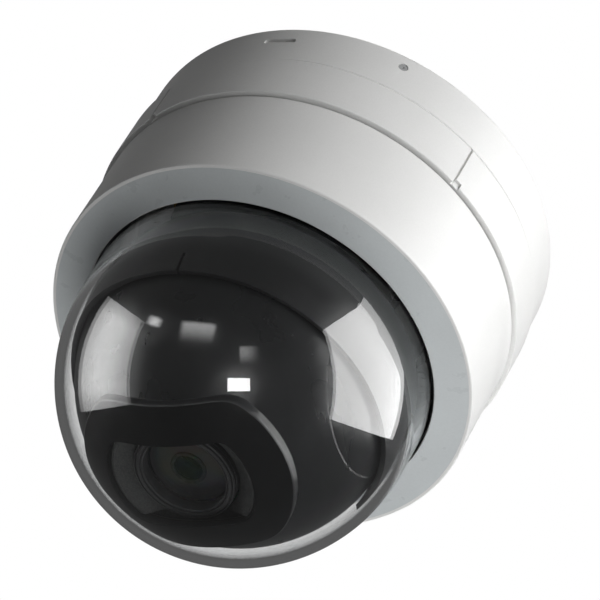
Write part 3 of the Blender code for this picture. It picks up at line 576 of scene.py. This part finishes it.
def make_mounting_plate():
    """The pressed steel disc: holes, keyhole slots and a shallow pressed ring."""
    low, high = corners("mounting_plate")
    edge, top, bottom = high.x, high.z, low.z
    outline = [
        (0, top), (20.0, top), (20.6, top - 0.5), (34.0, top - 0.5), (34.6, top), (edge, top, 0.4),
        (edge, bottom, 0.4), (0, bottom),
    ]
    plate = turned("mounting_plate_fine", outline, STEEL)
    tools = [prism("tool", circle(12.6, 72, (0, CABLE_Y)), bottom - 1, top + 1)]
    tools.append(prism("tool", circle(2.4, 32, RESET_AT), bottom - 1, top + 1))
    for number in range(4):
        place = polar(46.0, 45 + 90 * number)
        tools.append(prism("tool", circle(2.3, 32, place.xy), bottom - 1, top + 1))
        sink = [(0, top + 0.1), (4.0, top + 0.1), (2.3, top - 1.2), (0, top - 1.2)]
        tools.append(turned("tool", sink, steps=48, at=place))
        azimuth = 90 * number + 15
        slot_place, slot_turn = polar(52.0, azimuth), (0, 0, azimuth + 90)
        tools.append(prism("tool", obround(9.0, 3.2), bottom - 1, top + 1, at=slot_place, turn=slot_turn))
    cut(plate, *tools)
    ease(plate, 0.15)
    stands_for(plate, "mounting_plate")


def make_base_housing():
    """The ceiling-side shell, with the recess for the release pad and the set screw's hole."""
    low, high = corners("base_housing")
    plate_low, plate_high = corners("mounting_plate")
    collar_high = corners("collar_ring")[1]
    edge, top, bottom = high.x, high.z, low.z
    shoulder = collar_high.z + GAP
    rim = plate_high.x + GAP
    web_top, web_bottom = plate_low.z - GAP, -4.9
    recess_y = 62.0
    outline = [
        (0, web_top), (rim, web_top), (rim, top, 0.2), (edge, top, 1.0), (edge, shoulder, 0.45),
        (SPIGOT, shoulder, 0.2), (SPIGOT, bottom, 0.4), (SHELL_BORE, bottom, 0.4),
        (SHELL_BORE, shoulder + 1.0), (SHELL_INSIDE, shoulder + 2.0), (SHELL_INSIDE, web_bottom, 0.6),
        (0, web_bottom),
    ]
    base = turned("base_housing_fine", outline, WHITE, steps=240)
    cut(
        base,
        prism("tool", circle(12.0, 72, (0, CABLE_Y)), web_bottom - 1, web_top + 1),
        prism("tool", circle(1.8, 32, RESET_AT), web_bottom - 1, web_top + 1),
        prism("tool", obround(10.0, 2.0), -4.0, 4.0, at=(0, recess_y, PAD_HEIGHT), turn=(90, 0, 0)),
        lock_tool("tool", 1.5, 4.0),
    )
    ease(base, 0.22, 3)
    stands_for(base, "base_housing")


LOCK_AT = sum(corners("lock_screw"), Vector()) / 2
LOCK_AZIMUTH = math.degrees(math.atan2(LOCK_AT.y, LOCK_AT.x))


def lock_tool(name, radius, depth):
    """A round bar along the set screw's own axis."""
    turn = (-90, 0, LOCK_AZIMUTH - 90)
    return prism(name, circle(radius, 32), -depth, depth, at=polar(62.5, LOCK_AZIMUTH, LOCK_AT.z), turn=turn)


def make_release_button():
    """The sprung pad in the obround recess, crowned and ribbed for a thumbnail."""
    low, high = corners("release_button")
    front, reach, half_groove = high.y, 2.8, 0.12
    place = (0, front - reach, PAD_HEIGHT)
    pad = prism("release_button_fine", obround(9.4, 1.4), -reach, reach, WHITE, at=place, turn=(90, 0, 0))
    grooves = []
    for x in (-1.2, -0.4, 0.4, 1.2):
        left, right = x - half_groove, x + half_groove
        grooves.append(block("tool", (left, front - 0.25, -7.4), (right, front + 1, -5.2)))
    cut(pad, *grooves)
    flange = block("flange", (-6.2, low.y + 0.3, low.z), (6.2, 60.2, low.z + 3.2), WHITE, bevel=0.2)
    ease(pad, 0.18, 3)
    stands_for(joined("release_button_fine", pad, flange), "release_button")


def make_lock_screw():
    """The grey set screw, with a small hexagon socket in its flat end."""
    turn = (-90, 0, LOCK_AZIMUTH - 90)
    radius, reach, socket = 1.42, 1.6, 0.4
    outline = [(0, reach), (radius, reach, 0.15), (radius, -reach, 0.2), (0, -reach)]
    place = polar(62.2, LOCK_AZIMUTH, LOCK_AT.z)
    screw = turned("lock_screw_fine", outline, SCREW_GREY, steps=48, at=place, turn=turn)
    socket_place = polar(63.9, LOCK_AZIMUTH, LOCK_AT.z)
    cut(screw, prism("tool", circle(socket, 6), -socket, socket, at=socket_place, turn=turn))
    ease(screw, 0.06)
    stands_for(screw, "lock_screw")


def make_cable_grommet():
    low, high = corners("cable_grommet")
    middle = (low + high) / 2
    lip, neck = high.x, 11.7
    web_top, web_bottom = -2.5, low.z
    outline = [
        (10.0, high.z, 0.8), (lip, high.z, 0.8), (lip, web_top, 0.3), (neck, web_top),
        (neck, web_bottom, 0.5), (10.0, web_bottom, 0.6),
    ]
    grommet = turned("cable_grommet_fine", outline, RUBBER, steps=96, at=(0, middle.y, 0))
    stands_for(grommet, "cable_grommet")


def make_ethernet_jack():
    """The shielded network socket: a folded can with its mouth, eight gold contacts and two latches."""
    low, high = corners("ethernet_jack")
    middle = (low + high) / 2
    can = block("ethernet_jack_fine", low, high, STEEL)
    mouth_low = Vector((-6.0, middle.y - 4.2, -18.5))
    mouth_high = Vector((6.0, middle.y + 4.2, high.z + 1))
    cut(can, block("tool", mouth_low, mouth_high))
    ease(can, 0.25, 3)
    stands_for(can, "ethernet_jack")
    for number in range(8):
        x = -3.57 + 1.02 * number
        spring = block(
            f"jack_contact_{number + 1}", (x - 0.18, 0, 0), (x + 0.18, 5.2, 0.25), GOLD,
            at=(0, mouth_low.y + 0.4, -17.0), turn=(38, 0, 0), bevel=0.05,
        )
        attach(spring, "housing")
    for side in (-1, 1):
        latch = block(
            f"jack_latch_{'left' if side < 0 else 'right'}", (-0.9, -0.2, -4.0), (0.9, 0.1, 0.4), STEEL,
            at=(side * 6.0, middle.y, high.z - 0.3), turn=(0, 0, 90), bevel=0.08,
        )
        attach(latch, "housing")


def make_reset_button():
    low, high = corners("reset_button")
    middle = (low + high) / 2
    head, flange, stem = 1.4, 2.4, 1.0
    outline = [(0, high.z), (head, high.z, 0.35), (head, -5.2), (flange, -5.2, 0.15), (flange, -5.8, 0.15)]
    outline += [(stem, -5.8), (stem, low.z, 0.2), (0, low.z)]
    pin = turned("reset_button_fine", outline, GREY, steps=48, at=(middle.x, middle.y, 0))
    stands_for(pin, "reset_button")


# ---- collar, cover and dome


def make_collar_ring():
    """The widest ring, with four lengthwise slots that end in a small notch at the dome side."""
    low, high = corners("collar_ring")
    edge, bore, top, bottom = high.x, 62.3, high.z, low.z
    outline = [
        (bore, top, 0.3), (edge - 0.9, top, 0.1), (edge, top - 1.6, 0.4), (edge, bottom, 0.35),
        (bore, bottom, 0.3),
    ]
    collar = turned("collar_ring_fine", outline, WHITE, steps=240)
    slot_width, slot_depth, notch_width, notch_height = 0.7, 1.2, 2.0, 1.8
    notch_shift = math.degrees((slot_width + notch_width) / 2 / edge)
    tools = []
    for number in range(4):
        azimuth = 59.6 + 90 * number
        place = polar(edge - slot_depth + 2.0, azimuth, (top + bottom) / 2)
        half = slot_width / 2
        tools.append(block("tool", (-2, -half, -10), (2, half, 10), at=place, turn=(0, 0, azimuth)))
        azimuth += notch_shift
        place = polar(edge - slot_depth + 2.2, azimuth, bottom)
        half = (notch_width + 0.2) / 2
        near, far = (-2, -half, -notch_height), (2, half, notch_height)
        tools.append(block("tool", near, far, at=place, turn=(0, 0, azimuth)))
    cut(collar, *tools)
    ease(collar, 0.10)
    stands_for(collar, "collar_ring")


def retainer_screw_tools(height, reach):
    """Bars for the three screw holes through the cover's lip and the clamp ring."""
    places = [polar(59.05, 10 + 120 * number, height) for number in range(3)]
    return [prism("tool", circle(1.1, 24), -reach, reach, at=place) for place in places]


def make_lower_cover():
    """The smooth drum round the dome. Its sloping front face is polished, and its colour holds painted shade and a
    painted bluish reflection.
    """
    low, high = corners("lower_cover")
    edge, lip, lip_bottom = 63.7, 52.75, low.z
    top, groove, groove_top, groove_bottom = -34.2, SPIGOT - 1.1, -31.0, -32.6
    outline = [
        (SHELL_BORE, high.z, 0.3), (SPIGOT, high.z, 0.4), (SPIGOT, groove_top, 0.15),
        (groove, groove_top, 0.15), (groove, groove_bottom, 0.15), (SPIGOT, groove_bottom, 0.15),
        (SPIGOT, top), (edge, top, 0.35), (edge, COVER_RIM + 0.05, 1.0), (62.7, COVER_RIM, 0.25),
        (lip, lip_bottom, 0.35), (lip, LIP_TOP, 0.2), (SHELL_INSIDE, LIP_TOP, 1.2),
        (SHELL_INSIDE, -37.5), (SHELL_BORE, -36.2),
    ]

    def on_face(centre):
        return int(centre.z < COVER_RIM - 0.02 and centre.xy.length > lip + 0.2)

    # The sloping front face takes the lip material, whose colour is painted shade and a painted bluish reflection.
    cover = turned("lower_cover_fine", outline, WHITE, LIP_PAINTED_SHADE, steps=240, faces=on_face)
    cut(cover, *retainer_screw_tools(LIP_TOP, 1.2))
    weigh_normals(cover)
    stands_for(cover, "lower_cover")


def make_seals():
    low, high = corners("cover_seal")
    ring = [(61.2, high.z, 0.4), (high.x, high.z, 0.5), (high.x, low.z, 0.5), (61.2, low.z, 0.4)]
    stands_for(turned("cover_seal_fine", ring, RUBBER), "cover_seal")
    low, high = corners("dome_gasket")
    inner, lip_edge, flange_top = 52.4, 52.7, -65.5
    outline = [
        (inner, flange_top), (high.x, flange_top, 0.2), (high.x, GASKET_STEP, 0.2),
        (lip_edge, GASKET_STEP, 0.1), (lip_edge, low.z, 0.2), (inner, low.z, 0.2),
    ]
    stands_for(turned("dome_gasket_fine", outline, RUBBER), "dome_gasket")


def arc(radius, start, end, count, centre=0.0):
    """Outline points on a circle on the axis, at angles from straight down, in degrees."""
    angles = [math.radians(start + (end - start) * step / count) for step in range(count + 1)]
    return [(radius * math.sin(angle), centre - radius * math.cos(angle)) for angle in angles]


def make_dome():
    """The clear bubble: a hemisphere, a short skirt and the flange that holds it."""
    low, high = corners("dome_bubble")
    outer = EYE - low.z
    bore = outer - 2.6
    flange, flange_top, flange_bottom = high.x, high.z, -65.2
    outline = arc(bore, 0, 90, 64, EYE)
    outline += [(bore, flange_top, 0.3), (flange, flange_top, 0.3), (flange, flange_bottom, 0.3)]
    outline += [(outer, flange_bottom, 0.4)]
    outline += arc(outer, 90, 0, 64, EYE)
    dome = turned("dome_bubble_fine", outline, CLEAR, steps=256)
    dome.modifiers.clear()
    # The clear wall casts no shadow and scatters no sparkle on what it covers.
    dome.visible_shadow = False
    dome.visible_diffuse = False
    stands_for(dome, "dome_bubble")


def make_dome_retainer():
    """The clamp ring behind the dome's flange, ribbed between its three screws."""
    low, high = corners("dome_retainer")
    bore, step, step_height = 50.5, 57.4, -62.9
    outline = [
        (bore, high.z, 0.4), (high.x, high.z, 0.6), (high.x, GASKET_STEP, 0.2),
        (step, GASKET_STEP, 0.2), (step, step_height, 0.2), (bore, step_height, 0.2),
    ]
    ring = turned("dome_retainer_fine", outline, GREY)
    tools = retainer_screw_tools(high.z - 3, 9)
    for number in range(36):
        if number % 12 not in (0, 1, 2):
            azimuth = 10 * number
            place = polar(54.0, azimuth, high.z)
            tools.append(block("tool", (-1.2, -1.6, -1.1), (1.2, 1.6, 1), at=place, turn=(0, 0, azimuth)))
    cut(ring, *tools)
    ease(ring, 0.15)
    stands_for(ring, "dome_retainer")
    for number in range(3):
        node = f"retainer_screw_{number + 1}"
        low, high = corners(node)
        screw = pan_head_screw(f"{node}_fine", 1.6, high.z - 1.0, 0.8, low.z, (low + high) / 2)
        stands_for(screw, node)


def pan_head_screw(name, head, seat, shank, tip, middle):
    """A screw along Z, with its domed head above the seat, a cross recess and a thread."""
    outline = [(0, seat + 1.0), (head * 0.6, seat + 0.98), (head, seat + 0.5, 0.2), (head, seat, 0.1)]
    outline.append((shank, seat))
    pitch = 0.45
    count = int((seat - tip - 0.6) / pitch)
    for step in range(count):
        height = seat - 0.3 - pitch * step
        outline += [(shank * 0.8, height), (shank, height - pitch / 2)]
    outline += [(shank * 0.8, tip + 0.3), (0.2, tip), (0, tip)]
    place = (middle.x, middle.y, 0)
    screw = turned(name, outline, SCREW_STEEL, steps=32, at=place)
    arms = [(-0.16 * head / 1.6, -0.62 * head), (0.16 * head / 1.6, 0.62 * head)]
    for turn in (0, 90):
        tool = block("tool", (*arms[0], seat + 0.35), (*arms[1], seat + 1.5), at=place, turn=(0, 0, turn))
        cut(screw, tool)
    weigh_normals(screw)
    return screw


# ---- shroud and ball


def make_shroud():
    """The glossy black band round the back of the ball, with its cable slit."""
    low, high = corners("pan_shroud")
    radius, bore = high.y, 47.2
    low_edge = math.degrees(math.acos((EYE - low.z) / radius))
    high_edge = math.degrees(math.acos((EYE - high.z) / radius))
    outline = arc(radius, high_edge, low_edge, 24, EYE) + arc(bore, low_edge, high_edge, 24, EYE)
    shroud = turned("pan_shroud_fine", outline, SHROUD_GLOSS)
    half = 31.5
    cut(
        shroud,
        block("tool", (-half, -60, EYE - 30), (half, 0, EYE + 30)),
        prism("tool", obround(13.0, 0.8), -6, 6, at=(0, 46.0, low.z), turn=(0, 90, 90)),
    )
    ease(shroud, 0.3, 3)
    lugs = []
    for side in (-1, 1):
        left, right = sorted((side * 42.2, side * 45.2))
        lugs.append(block("lug", (left, -4, EYE + 13.0), (right, 4, EYE + 16.6), SHROUD_GLOSS, bevel=0.25))
    stands_for(joined("pan_shroud_fine", shroud, *lugs), "pan_shroud")


BALL_RADIUS, BALL_BORE, BALL_HALF_WIDTH = 46.5, 44.3, 39.0
NOSE_RADIUS, NOSE_FLAT, NOSE_FACE, NOSE_WALL = 30.4, 24.0, 48.6, 2.6
WINDOW_RADIUS, WINDOW_FLAT = 21.0, 13.3


def flattened(radius, flat, angle, sharpness=20.0):
    """The reach of a circle that is cut to plus and minus flat along Y, with soft corners."""
    side = flat / max(abs(math.sin(angle)), 1e-6)
    return (radius**-sharpness + side**-sharpness) ** (-1 / sharpness)


def on_sphere(radius, reach):
    return math.sqrt(max(radius * radius - reach * reach, 0.0))


def ball_edge(radius, angle):
    """The polar angle at which the ball's shell ends: at its equator or at its flat side."""
    side = BALL_HALF_WIDTH / max(radius * abs(math.cos(angle)), 1e-6)
    return math.asin(min(side, math.cos(math.radians(0.2))))


def swept_shell(name, section, side, *materials, steps=288):
    """A closed shell round the lens axis from a section of (reach, depth) at each angle."""
    points, faces = [], []
    for step in range(steps):
        angle = math.tau * step / steps
        for reach, depth in rounded(section(angle)):
            points.append((reach * math.cos(angle), reach * math.sin(angle), EYE + side * depth))
    count = len(points) // steps
    for step in range(steps):
        here, there = step * count, (step + 1) % steps * count
        faces += [
            (here + i, there + i, there + (i + 1) % count, here + (i + 1) % count) for i in range(count)
        ]
    piece = from_faces(name, points, faces, *materials)
    weigh_normals(piece)
    return piece


def shell_sides(start_reach, angle, count=28):
    """The ball's outer surface from a reach to its edge, and back along its inner surface."""
    sides = []
    for radius, reach, ways in ((BALL_RADIUS, start_reach, 1), (BALL_BORE, start_reach, -1)):
        start, end = math.asin(reach / radius), ball_edge(radius, angle)
        for share in [step / count for step in range(1, count + 1)][::ways]:
            turn = start + (end - start) * share
            sides.append((radius * math.sin(turn), radius * math.cos(turn)))
    return sides


def front_section(angle):
    """The front shell's section: window edge, nose face, raised edge, ball and back inside."""
    window = flattened(WINDOW_RADIUS, WINDOW_FLAT, angle)
    nose = flattened(NOSE_RADIUS, NOSE_FLAT, angle)
    inner = flattened(NOSE_RADIUS - NOSE_WALL - GAP, NOSE_FLAT - NOSE_WALL, angle)
    inner_face = NOSE_FACE - NOSE_WALL
    section = [(window, on_sphere(inner_face, window), 0.2), (window, on_sphere(NOSE_FACE, window), 0.9)]
    for step in range(1, 10):
        reach = window + (nose - window) * step / 10
        section.append((reach, on_sphere(NOSE_FACE, reach)))
    section += [(nose, on_sphere(NOSE_FACE, nose), 1.4), (nose, on_sphere(BALL_RADIUS, nose), 0.5)]
    section += shell_sides(nose, angle)
    section += [(inner, on_sphere(BALL_BORE, inner)), (inner, on_sphere(inner_face, inner), 0.4)]
    section.append(((inner + window) / 2, on_sphere(inner_face, (inner + window) / 2)))
    return section


def rear_section(angle):
    hole = 9.0
    section = [(hole, on_sphere(BALL_BORE, hole), 0.3), (hole, on_sphere(BALL_RADIUS, hole), 0.6)]
    return section + shell_sides(hole, angle)


def make_ball():
    """The ball's glossy front shell, with its raised nose and window, and its rear shell."""
    front = swept_shell("ball_front_fine", front_section, -1, GLOSS, NOSE, NOSE_EDGE)
    for polygon in front.data.polygons:
        place = polygon.center / MM
        outward = place - Vector((0, 0, EYE))
        if outward.length < BALL_RADIUS + 0.05:
            continue
        angle = math.atan2(place.y, place.x)
        nose = flattened(NOSE_RADIUS, NOSE_FLAT, angle)
        halfway = (nose + flattened(WINDOW_RADIUS, WINDOW_FLAT, angle)) / 2
        turned_away = abs(polygon.normal.dot(outward.normalized())) < 0.96
        polygon.material_index = 2 if turned_away and place.xy.length > halfway else 1
    stands_for(front, "ball_front")
    stands_for(swept_shell("ball_rear_fine", rear_section, 1, GLOSS, steps=192), "ball_rear")


def make_cheeks():
    """The still caps over the yoke arms' ends that complete the ball's round outline."""
    start, bore, recess = BALL_HALF_WIDTH + 0.12, 45.1, 44.6
    collar, collar_bore, collar_end = 7.2, 5.2, -42.2
    outer_edge = math.degrees(math.acos(start / BALL_RADIUS))
    inner_edge = math.degrees(math.acos(start / bore))
    collar_edge = math.degrees(math.asin(collar / bore))
    outline = arc(BALL_RADIUS, 0, outer_edge, 40) + arc(bore, inner_edge, collar_edge, 24)
    outline += [(collar, collar_end, 0.3), (collar_bore, collar_end, 0.3), (collar_bore, -recess, 0.2)]
    outline.append((0, -recess))
    for side, word in ((-1, "left"), (1, "right")):
        cheek = turned(f"cheek_{word}_fine", outline, GLOSS, at=(0, 0, EYE), turn=(0, -90 * side, 0))
        arm_left, arm_right = sorted((side * 37.9, side * 42.1))
        top_left, top_right = sorted((side * 32, side * 52))
        cut(
            cheek,
            block("tool", (arm_left, -10.5, EYE), (arm_right, 10.5, EYE + 60)),
            block("tool", (top_left, -30, EYE + 11), (top_right, 30, EYE + 41)),
        )
        ease(cheek, 0.05, 1)
        stands_for(cheek, f"cheek_{word}")


def make_lens():
    """Barrel, front ring with its fine steps, front glass and pupil plate."""
    low, high = corners("lens_ring")
    outer, inner, back, front = high.x, 12.0, high.z, low.z
    outline = [
        (inner, back), (outer, back, 0.1), (outer, front + 0.5, 0.2), (outer - 0.45, front + 0.1, 0.15),
        (outer - 0.55, front + 0.75), (outer - 0.80, front + 0.75), (outer - 0.9, front, 0.15),
        (inner + 0.95, front, 0.15), (inner + 0.85, front + 0.6), (inner + 0.60, front + 0.6),
        (inner + 0.5, front + 0.25, 0.1), (inner + 0.1, front + 0.5, 0.1),
    ]
    stands_for(turned("lens_ring_fine", outline, BARREL), "lens_ring")

    low, high = corners("front_glass")
    edge, apex, back = high.x, low.z, high.z
    face, thick = 34.0, 1.8
    edge_angle = math.degrees(math.asin((edge - 0.3) / face))
    inside = math.degrees(math.asin((edge - 0.6) / (face - thick)))
    outline = arc(face - thick, 0, inside, 24, apex + face) + [(edge - 0.6, back, 0.1), (edge, back, 0.2)]
    outline += [(edge, apex + face - on_sphere(face, edge) + 0.3, 0.1)]
    outline += arc(face, edge_angle, 0, 24, apex + face)
    glass = turned("front_glass_fine", outline, FRONT_GLASS)
    glass.modifiers.clear()
    glass.visible_shadow = False
    stands_for(glass, "front_glass")

    low, high = corners("iris_plate")
    pupil = 3.9
    outline = [(pupil, high.z, 0.05), (high.x, high.z), (high.x, low.z), (pupil, low.z, 0.1)]
    stands_for(turned("iris_plate_fine", outline, BARREL), "iris_plate")

    low, high = corners("lens_barrel")
    outer, back, front = high.x, high.z, low.z
    tube, groove, mouth, baffle, inside, hole = 13.4, 12.9, 12.6, 11.3, 11.0, 6.0
    outline = [
        (hole, back, 0.2), (tube, back, 0.4), (tube, back - 7.0), (groove, back - 7.3), (groove, back - 8.7),
        (tube, back - 9.0), (tube, EYE - 30.0, 0.3), (outer, EYE - 30.0, 0.4), (outer, front, 0.2),
        (mouth, front, 0.2), (mouth, EYE - 34.5), (baffle, EYE - 34.5), (baffle, EYE - 36.6),
        (5.1, EYE - 37.5), (5.0, EYE - 37.95, 0.25), (4.5, EYE - 38.2, 0.3), (4.0, EYE - 37.9, 0.25),
        (4.0, EYE - 37.2, 0.1), (4.4, EYE - 36.8), (10.4, EYE - 36.0), (inside, EYE - 34.6),
    ]
    for step in range(12):
        height = EYE - 33.0 + step * 0.7
        outline += [(inside, height), (11.25, height + 0.2), (11.25, height + 0.5)]
    outline += [(inside, back - 1.0), (hole, back - 1.0, 0.1)]

    def on_rim(centre):
        return int(centre.xy.length < 5.1 and centre.z < EYE - 37.4)

    stands_for(turned("lens_barrel_fine", outline, BARREL, PUPIL_RIM, faces=on_rim), "lens_barrel")


def make_bezel():
    """The dark grained funnel between the lens and the window, on its flat plate."""
    low, high = corners("lens_bezel")
    bore, edge, back, flange = 15.3, high.x, high.z, EYE - 39.3
    outline = [(bore, back, 0.2), (edge, back, 0.2), (edge, flange, 0.3), (bore, flange, 0.2)]
    plate = turned("lens_bezel_fine", outline, MATTE)
    half = high.y
    cut(plate, block("tool", (-40, -half, flange - 3), (40, half, back + 3)), operation="INTERSECT")
    ease(plate, 0.2)
    rim, root = WINDOW_RADIUS - GAP, EYE - 38.0
    outline = [(bore, root), (rim, root), (rim, low.z, 0.15), (rim - 0.7, low.z, 0.15)]
    outline += [(bore + 0.3, flange - 0.3, 0.3), (bore, flange, 0.2)]
    funnel = turned("funnel", outline, MATTE)
    flat = WINDOW_FLAT - GAP
    cut(funnel, block("tool", (-40, -flat, low.z - 3), (40, flat, back + 3)), operation="INTERSECT")
    ease(funnel, 0.15)
    stands_for(joined("lens_bezel_fine", plate, funnel), "lens_bezel")


# ---- carried-over pieces


def refine_carried_nodes():
    """Every CAD piece that is still shown gets eased edges and its finish; the turntable gets painted shade."""
    for name, node in frame["nodes"].items():
        if name in REPLACED:
            continue
        node.data.materials.clear()
        node.data.materials.append(NODE_FINISHES.get(name, CAD_FINISHES[SLOT_OF[name]]))
        weld = node.modifiers.new("weld", "WELD")
        weld.merge_threshold = 0.01 * MM
        ease(node, 0.12, 2, 38)


# ---- studio

RIM = Vector((0, 0, COVER_RIM)) * MM
DOME = Vector((0, 0, EYE)) * MM
AZIMUTH, ELEVATION = 219.65, -46.8  # the viewer's direction from the cover's rim, in degrees


def camera_axes():
    """The viewer's right, up and back directions."""
    azimuth, elevation = math.radians(AZIMUTH), math.radians(ELEVATION)
    back = Vector((
        math.sin(azimuth) * math.cos(elevation),
        -math.cos(azimuth) * math.cos(elevation),
        math.sin(elevation),
    ))
    across = Vector((1, 0, 0))
    right = -(across - back * across.dot(back)).normalized()
    up = back.cross(right)
    return right, up, back


RIGHT, UP, BACK = camera_axes()


def make_camera():
    data = bpy.data.cameras.new("view")
    data.lens = 300.0
    data.sensor_width = 36.0
    data.clip_start, data.clip_end = 0.1, 30.0
    camera = bpy.data.objects.new("view", data)
    aside, above, away = 0.011335, 0.014159, 1.4169  # metres from the cover's rim
    place = RIM + RIGHT * aside + UP * above + BACK * away
    camera.matrix_world = Matrix.Translation(place) @ Matrix((RIGHT, UP, BACK)).transposed().to_4x4()
    bpy.context.scene.collection.objects.link(camera)
    bpy.context.scene.camera = camera


def soft_light(name, centre, facing, size, strength, diffuse=True, glossy=True):
    """A rectangular light. Its place, in metres from the dome's centre, and facing are (right, up, back)."""
    data = bpy.data.lights.new(name, "AREA")
    data.shape = "RECTANGLE"
    data.size, data.size_y = size
    data.energy = strength * size[0] * size[1] * math.pi
    light = bpy.data.objects.new(name, data)
    place = DOME + RIGHT * centre[0] + UP * centre[1] + BACK * centre[2]
    out = -(RIGHT * facing[0] + UP * facing[1] + BACK * facing[2]).normalized()
    upward = UP if abs(out.dot(UP)) < 0.9 else BACK
    across = upward.cross(out).normalized()
    axes = Matrix((across, out.cross(across), out)).transposed().to_4x4()
    light.matrix_world = Matrix.Translation(place) @ axes
    light.visible_diffuse = diffuse
    light.visible_glossy = glossy
    light.visible_transmission = glossy
    light.visible_camera = False
    bpy.context.scene.collection.objects.link(light)
    return light


def ramp(tree, value, start, end, low, high):
    """Maps a value smoothly from start and end to low and high."""
    node = tree.nodes.new("ShaderNodeMapRange")
    node.interpolation_type = "SMOOTHSTEP"
    tree.links.new(value, node.inputs["Value"])
    for key, number in (("From Min", start), ("From Max", end), ("To Min", low), ("To Max", high)):
        node.inputs[key].default_value = number
    return node.outputs["Result"]


def soften(light, edges, least=0.0):
    """Fades a light to a least strength towards its four edges, over a share of its width at each."""
    data = light.data
    data.use_nodes = True
    tree = data.node_tree
    emission = tree.nodes["Emission"]
    place = tree.nodes.new("ShaderNodeSeparateXYZ")
    tree.links.new(tree.nodes.new("ShaderNodeNewGeometry").outputs["Parametric"], place.inputs[0])
    strength = None
    left, right, low, high = edges
    sides = (("X", 0.0, left), ("X", 1.0, 1.0 - right), ("Y", 0.0, low), ("Y", 1.0, 1.0 - high))
    for axis, start, end in sides:
        fade = ramp(tree, place.outputs[axis], start, end, least, 1.0)
        product = tree.nodes.new("ShaderNodeMath")
        product.operation = "MULTIPLY"
        tree.links.new(fade, product.inputs[0])
        product.inputs[1].default_value = 1.0
        if strength:
            tree.links.new(strength, product.inputs[1])
        strength = product.outputs[0]
    tree.links.new(strength, emission.inputs["Strength"])


def make_lights():
    """Two softboxes and a card that show in the gloss, small lights, and broad light for the body."""
    soft_light("key_shine", (1.0, 0.13, -0.02), (-1, 0, 0), (1.16, 1.03), 4.3, diffuse=False)
    fill = soft_light("fill_shine", (-1.0, 0.23, -0.085), (1, 0, 0), (0.83, 0.84), 3.3, diffuse=False)
    soften(fill, (0.4, 0.4, 0.2, 0.2), 0.6)
    soft_light("card", (0.0, 0.0, 1.40), (0, 0, -1), (0.333, 0.196), 11.0, diffuse=False)
    for name, way, size, strength, edges in (
        ("spark", (-0.744, 0.548, 0.383), (0.18, 0.11), 4.5, (0.3, 0.3, 0.3, 0.3)),
        ("window", (-0.414, 0.506, 0.757), (0.40, 0.24), 2.6, (0.12, 0.12, 0.95, 0.08)),
        ("lamp", (0.118, 0.30, 0.947), (0.24, 0.22), 1.6, (0.1, 0.8, 0.7, 0.1)),
    ):
        light = soft_light(name, way, [-value for value in way], size, strength, diffuse=False)
        soften(light, edges)
    for name, way, strength in (
        ("glow_right", (0.80, 0.0, 0.60), 4.9),
        ("glow_high", (0.80, 0.50, 0.20), 3.4),
        ("glow_low", (0.0, -1.0, 0.20), 3.7),
        ("glow_low_front", (0.0, -0.70, 0.70), 1.6),
        ("glow_far_right", (0.80, 0.0, -0.60), 0.84),
    ):
        place = Vector(way).normalized() * 1.3
        soft_light(name, place, -place, (0.8, 0.8), strength, glossy=False)


def make_world():
    """White paper behind the object, seen directly and through the dome, in a dim soft grey room."""
    world = bpy.data.worlds.new("room")
    bpy.context.scene.world = world
    world.use_nodes = True
    tree = world.node_tree
    tree.nodes.clear()
    new = tree.nodes.new
    link = tree.links.new
    way = new("ShaderNodeTexCoord").outputs["Generated"]
    dot = new("ShaderNodeVectorMath")
    dot.operation = "DOT_PRODUCT"
    link(way, dot.inputs[0])
    dot.inputs[1].default_value = -BACK
    path = new("ShaderNodeLightPath")

    def mixed(share, first, second):
        mix = new("ShaderNodeMix")
        for key, value in (("Factor", share), ("A", first), ("B", second)):
            if isinstance(value, float):
                mix.inputs[key].default_value = value
            else:
                link(value, mix.inputs[key])
        return mix.outputs["Result"]

    mirrored = ramp(tree, path.outputs["Glossy Depth"], 0.4, 0.6, 0.0, 1.0)
    dull = ramp(tree, dot.outputs["Value"], 0.60, 0.95, 0.06, 0.11)
    bright = ramp(tree, dot.outputs["Value"], 0.70, 0.86, 0.08, 1.0)
    room = mixed(mirrored, bright, dull)
    diffuse = ramp(tree, dot.outputs["Value"], 0.70, 0.86, 0.08, 0.47)
    room = mixed(path.outputs["Is Diffuse Ray"], room, diffuse)
    room = mixed(path.outputs["Is Camera Ray"], room, 1.0)
    background = new("ShaderNodeBackground")
    background.inputs["Color"].default_value = (1, 1, 1, 1)
    link(room, background.inputs["Strength"])
    output = new("ShaderNodeOutputWorld")
    link(background.outputs["Background"], output.inputs["Surface"])


def make_floor():
    """A pale floor with a glow of its own, far below, which lights nothing and shows in no reflection."""
    size, drop = 12.0, -1.6
    mesh = bpy.data.meshes.new("floor")
    points = [(-size, -size, drop), (size, -size, drop), (size, size, drop), (-size, size, drop)]
    mesh.from_pydata(points, [], [(0, 1, 2, 3)])
    pale = Finish("floor_paint", (0.72, 0.72, 0.71), 0.7)
    pale.set("Roughness", pale.between(pale.noise(200.0, 3.0), 0.6, 0.8))
    pale.set("Emission Color", (0.80, 0.80, 0.79, 1.0))
    pale.set("Emission Strength", 0.75)
    floor = new_piece("floor", mesh, pale.material)
    floor.visible_glossy = False
    floor.visible_transmission = False
    floor.visible_diffuse = False


# ---- everything in place

bpy.context.scene.view_settings.view_transform = "Standard"
make_camera()
make_lights()
make_world()
make_floor()
make_mounting_plate()
make_base_housing()
make_release_button()
make_lock_screw()
make_cable_grommet()
make_ethernet_jack()
make_reset_button()
make_collar_ring()
make_lower_cover()
make_seals()
make_dome()
make_dome_retainer()
make_shroud()
make_cheeks()
make_ball()
make_lens()
make_bezel()
refine_carried_nodes()

bpy.context.view_layer.update()
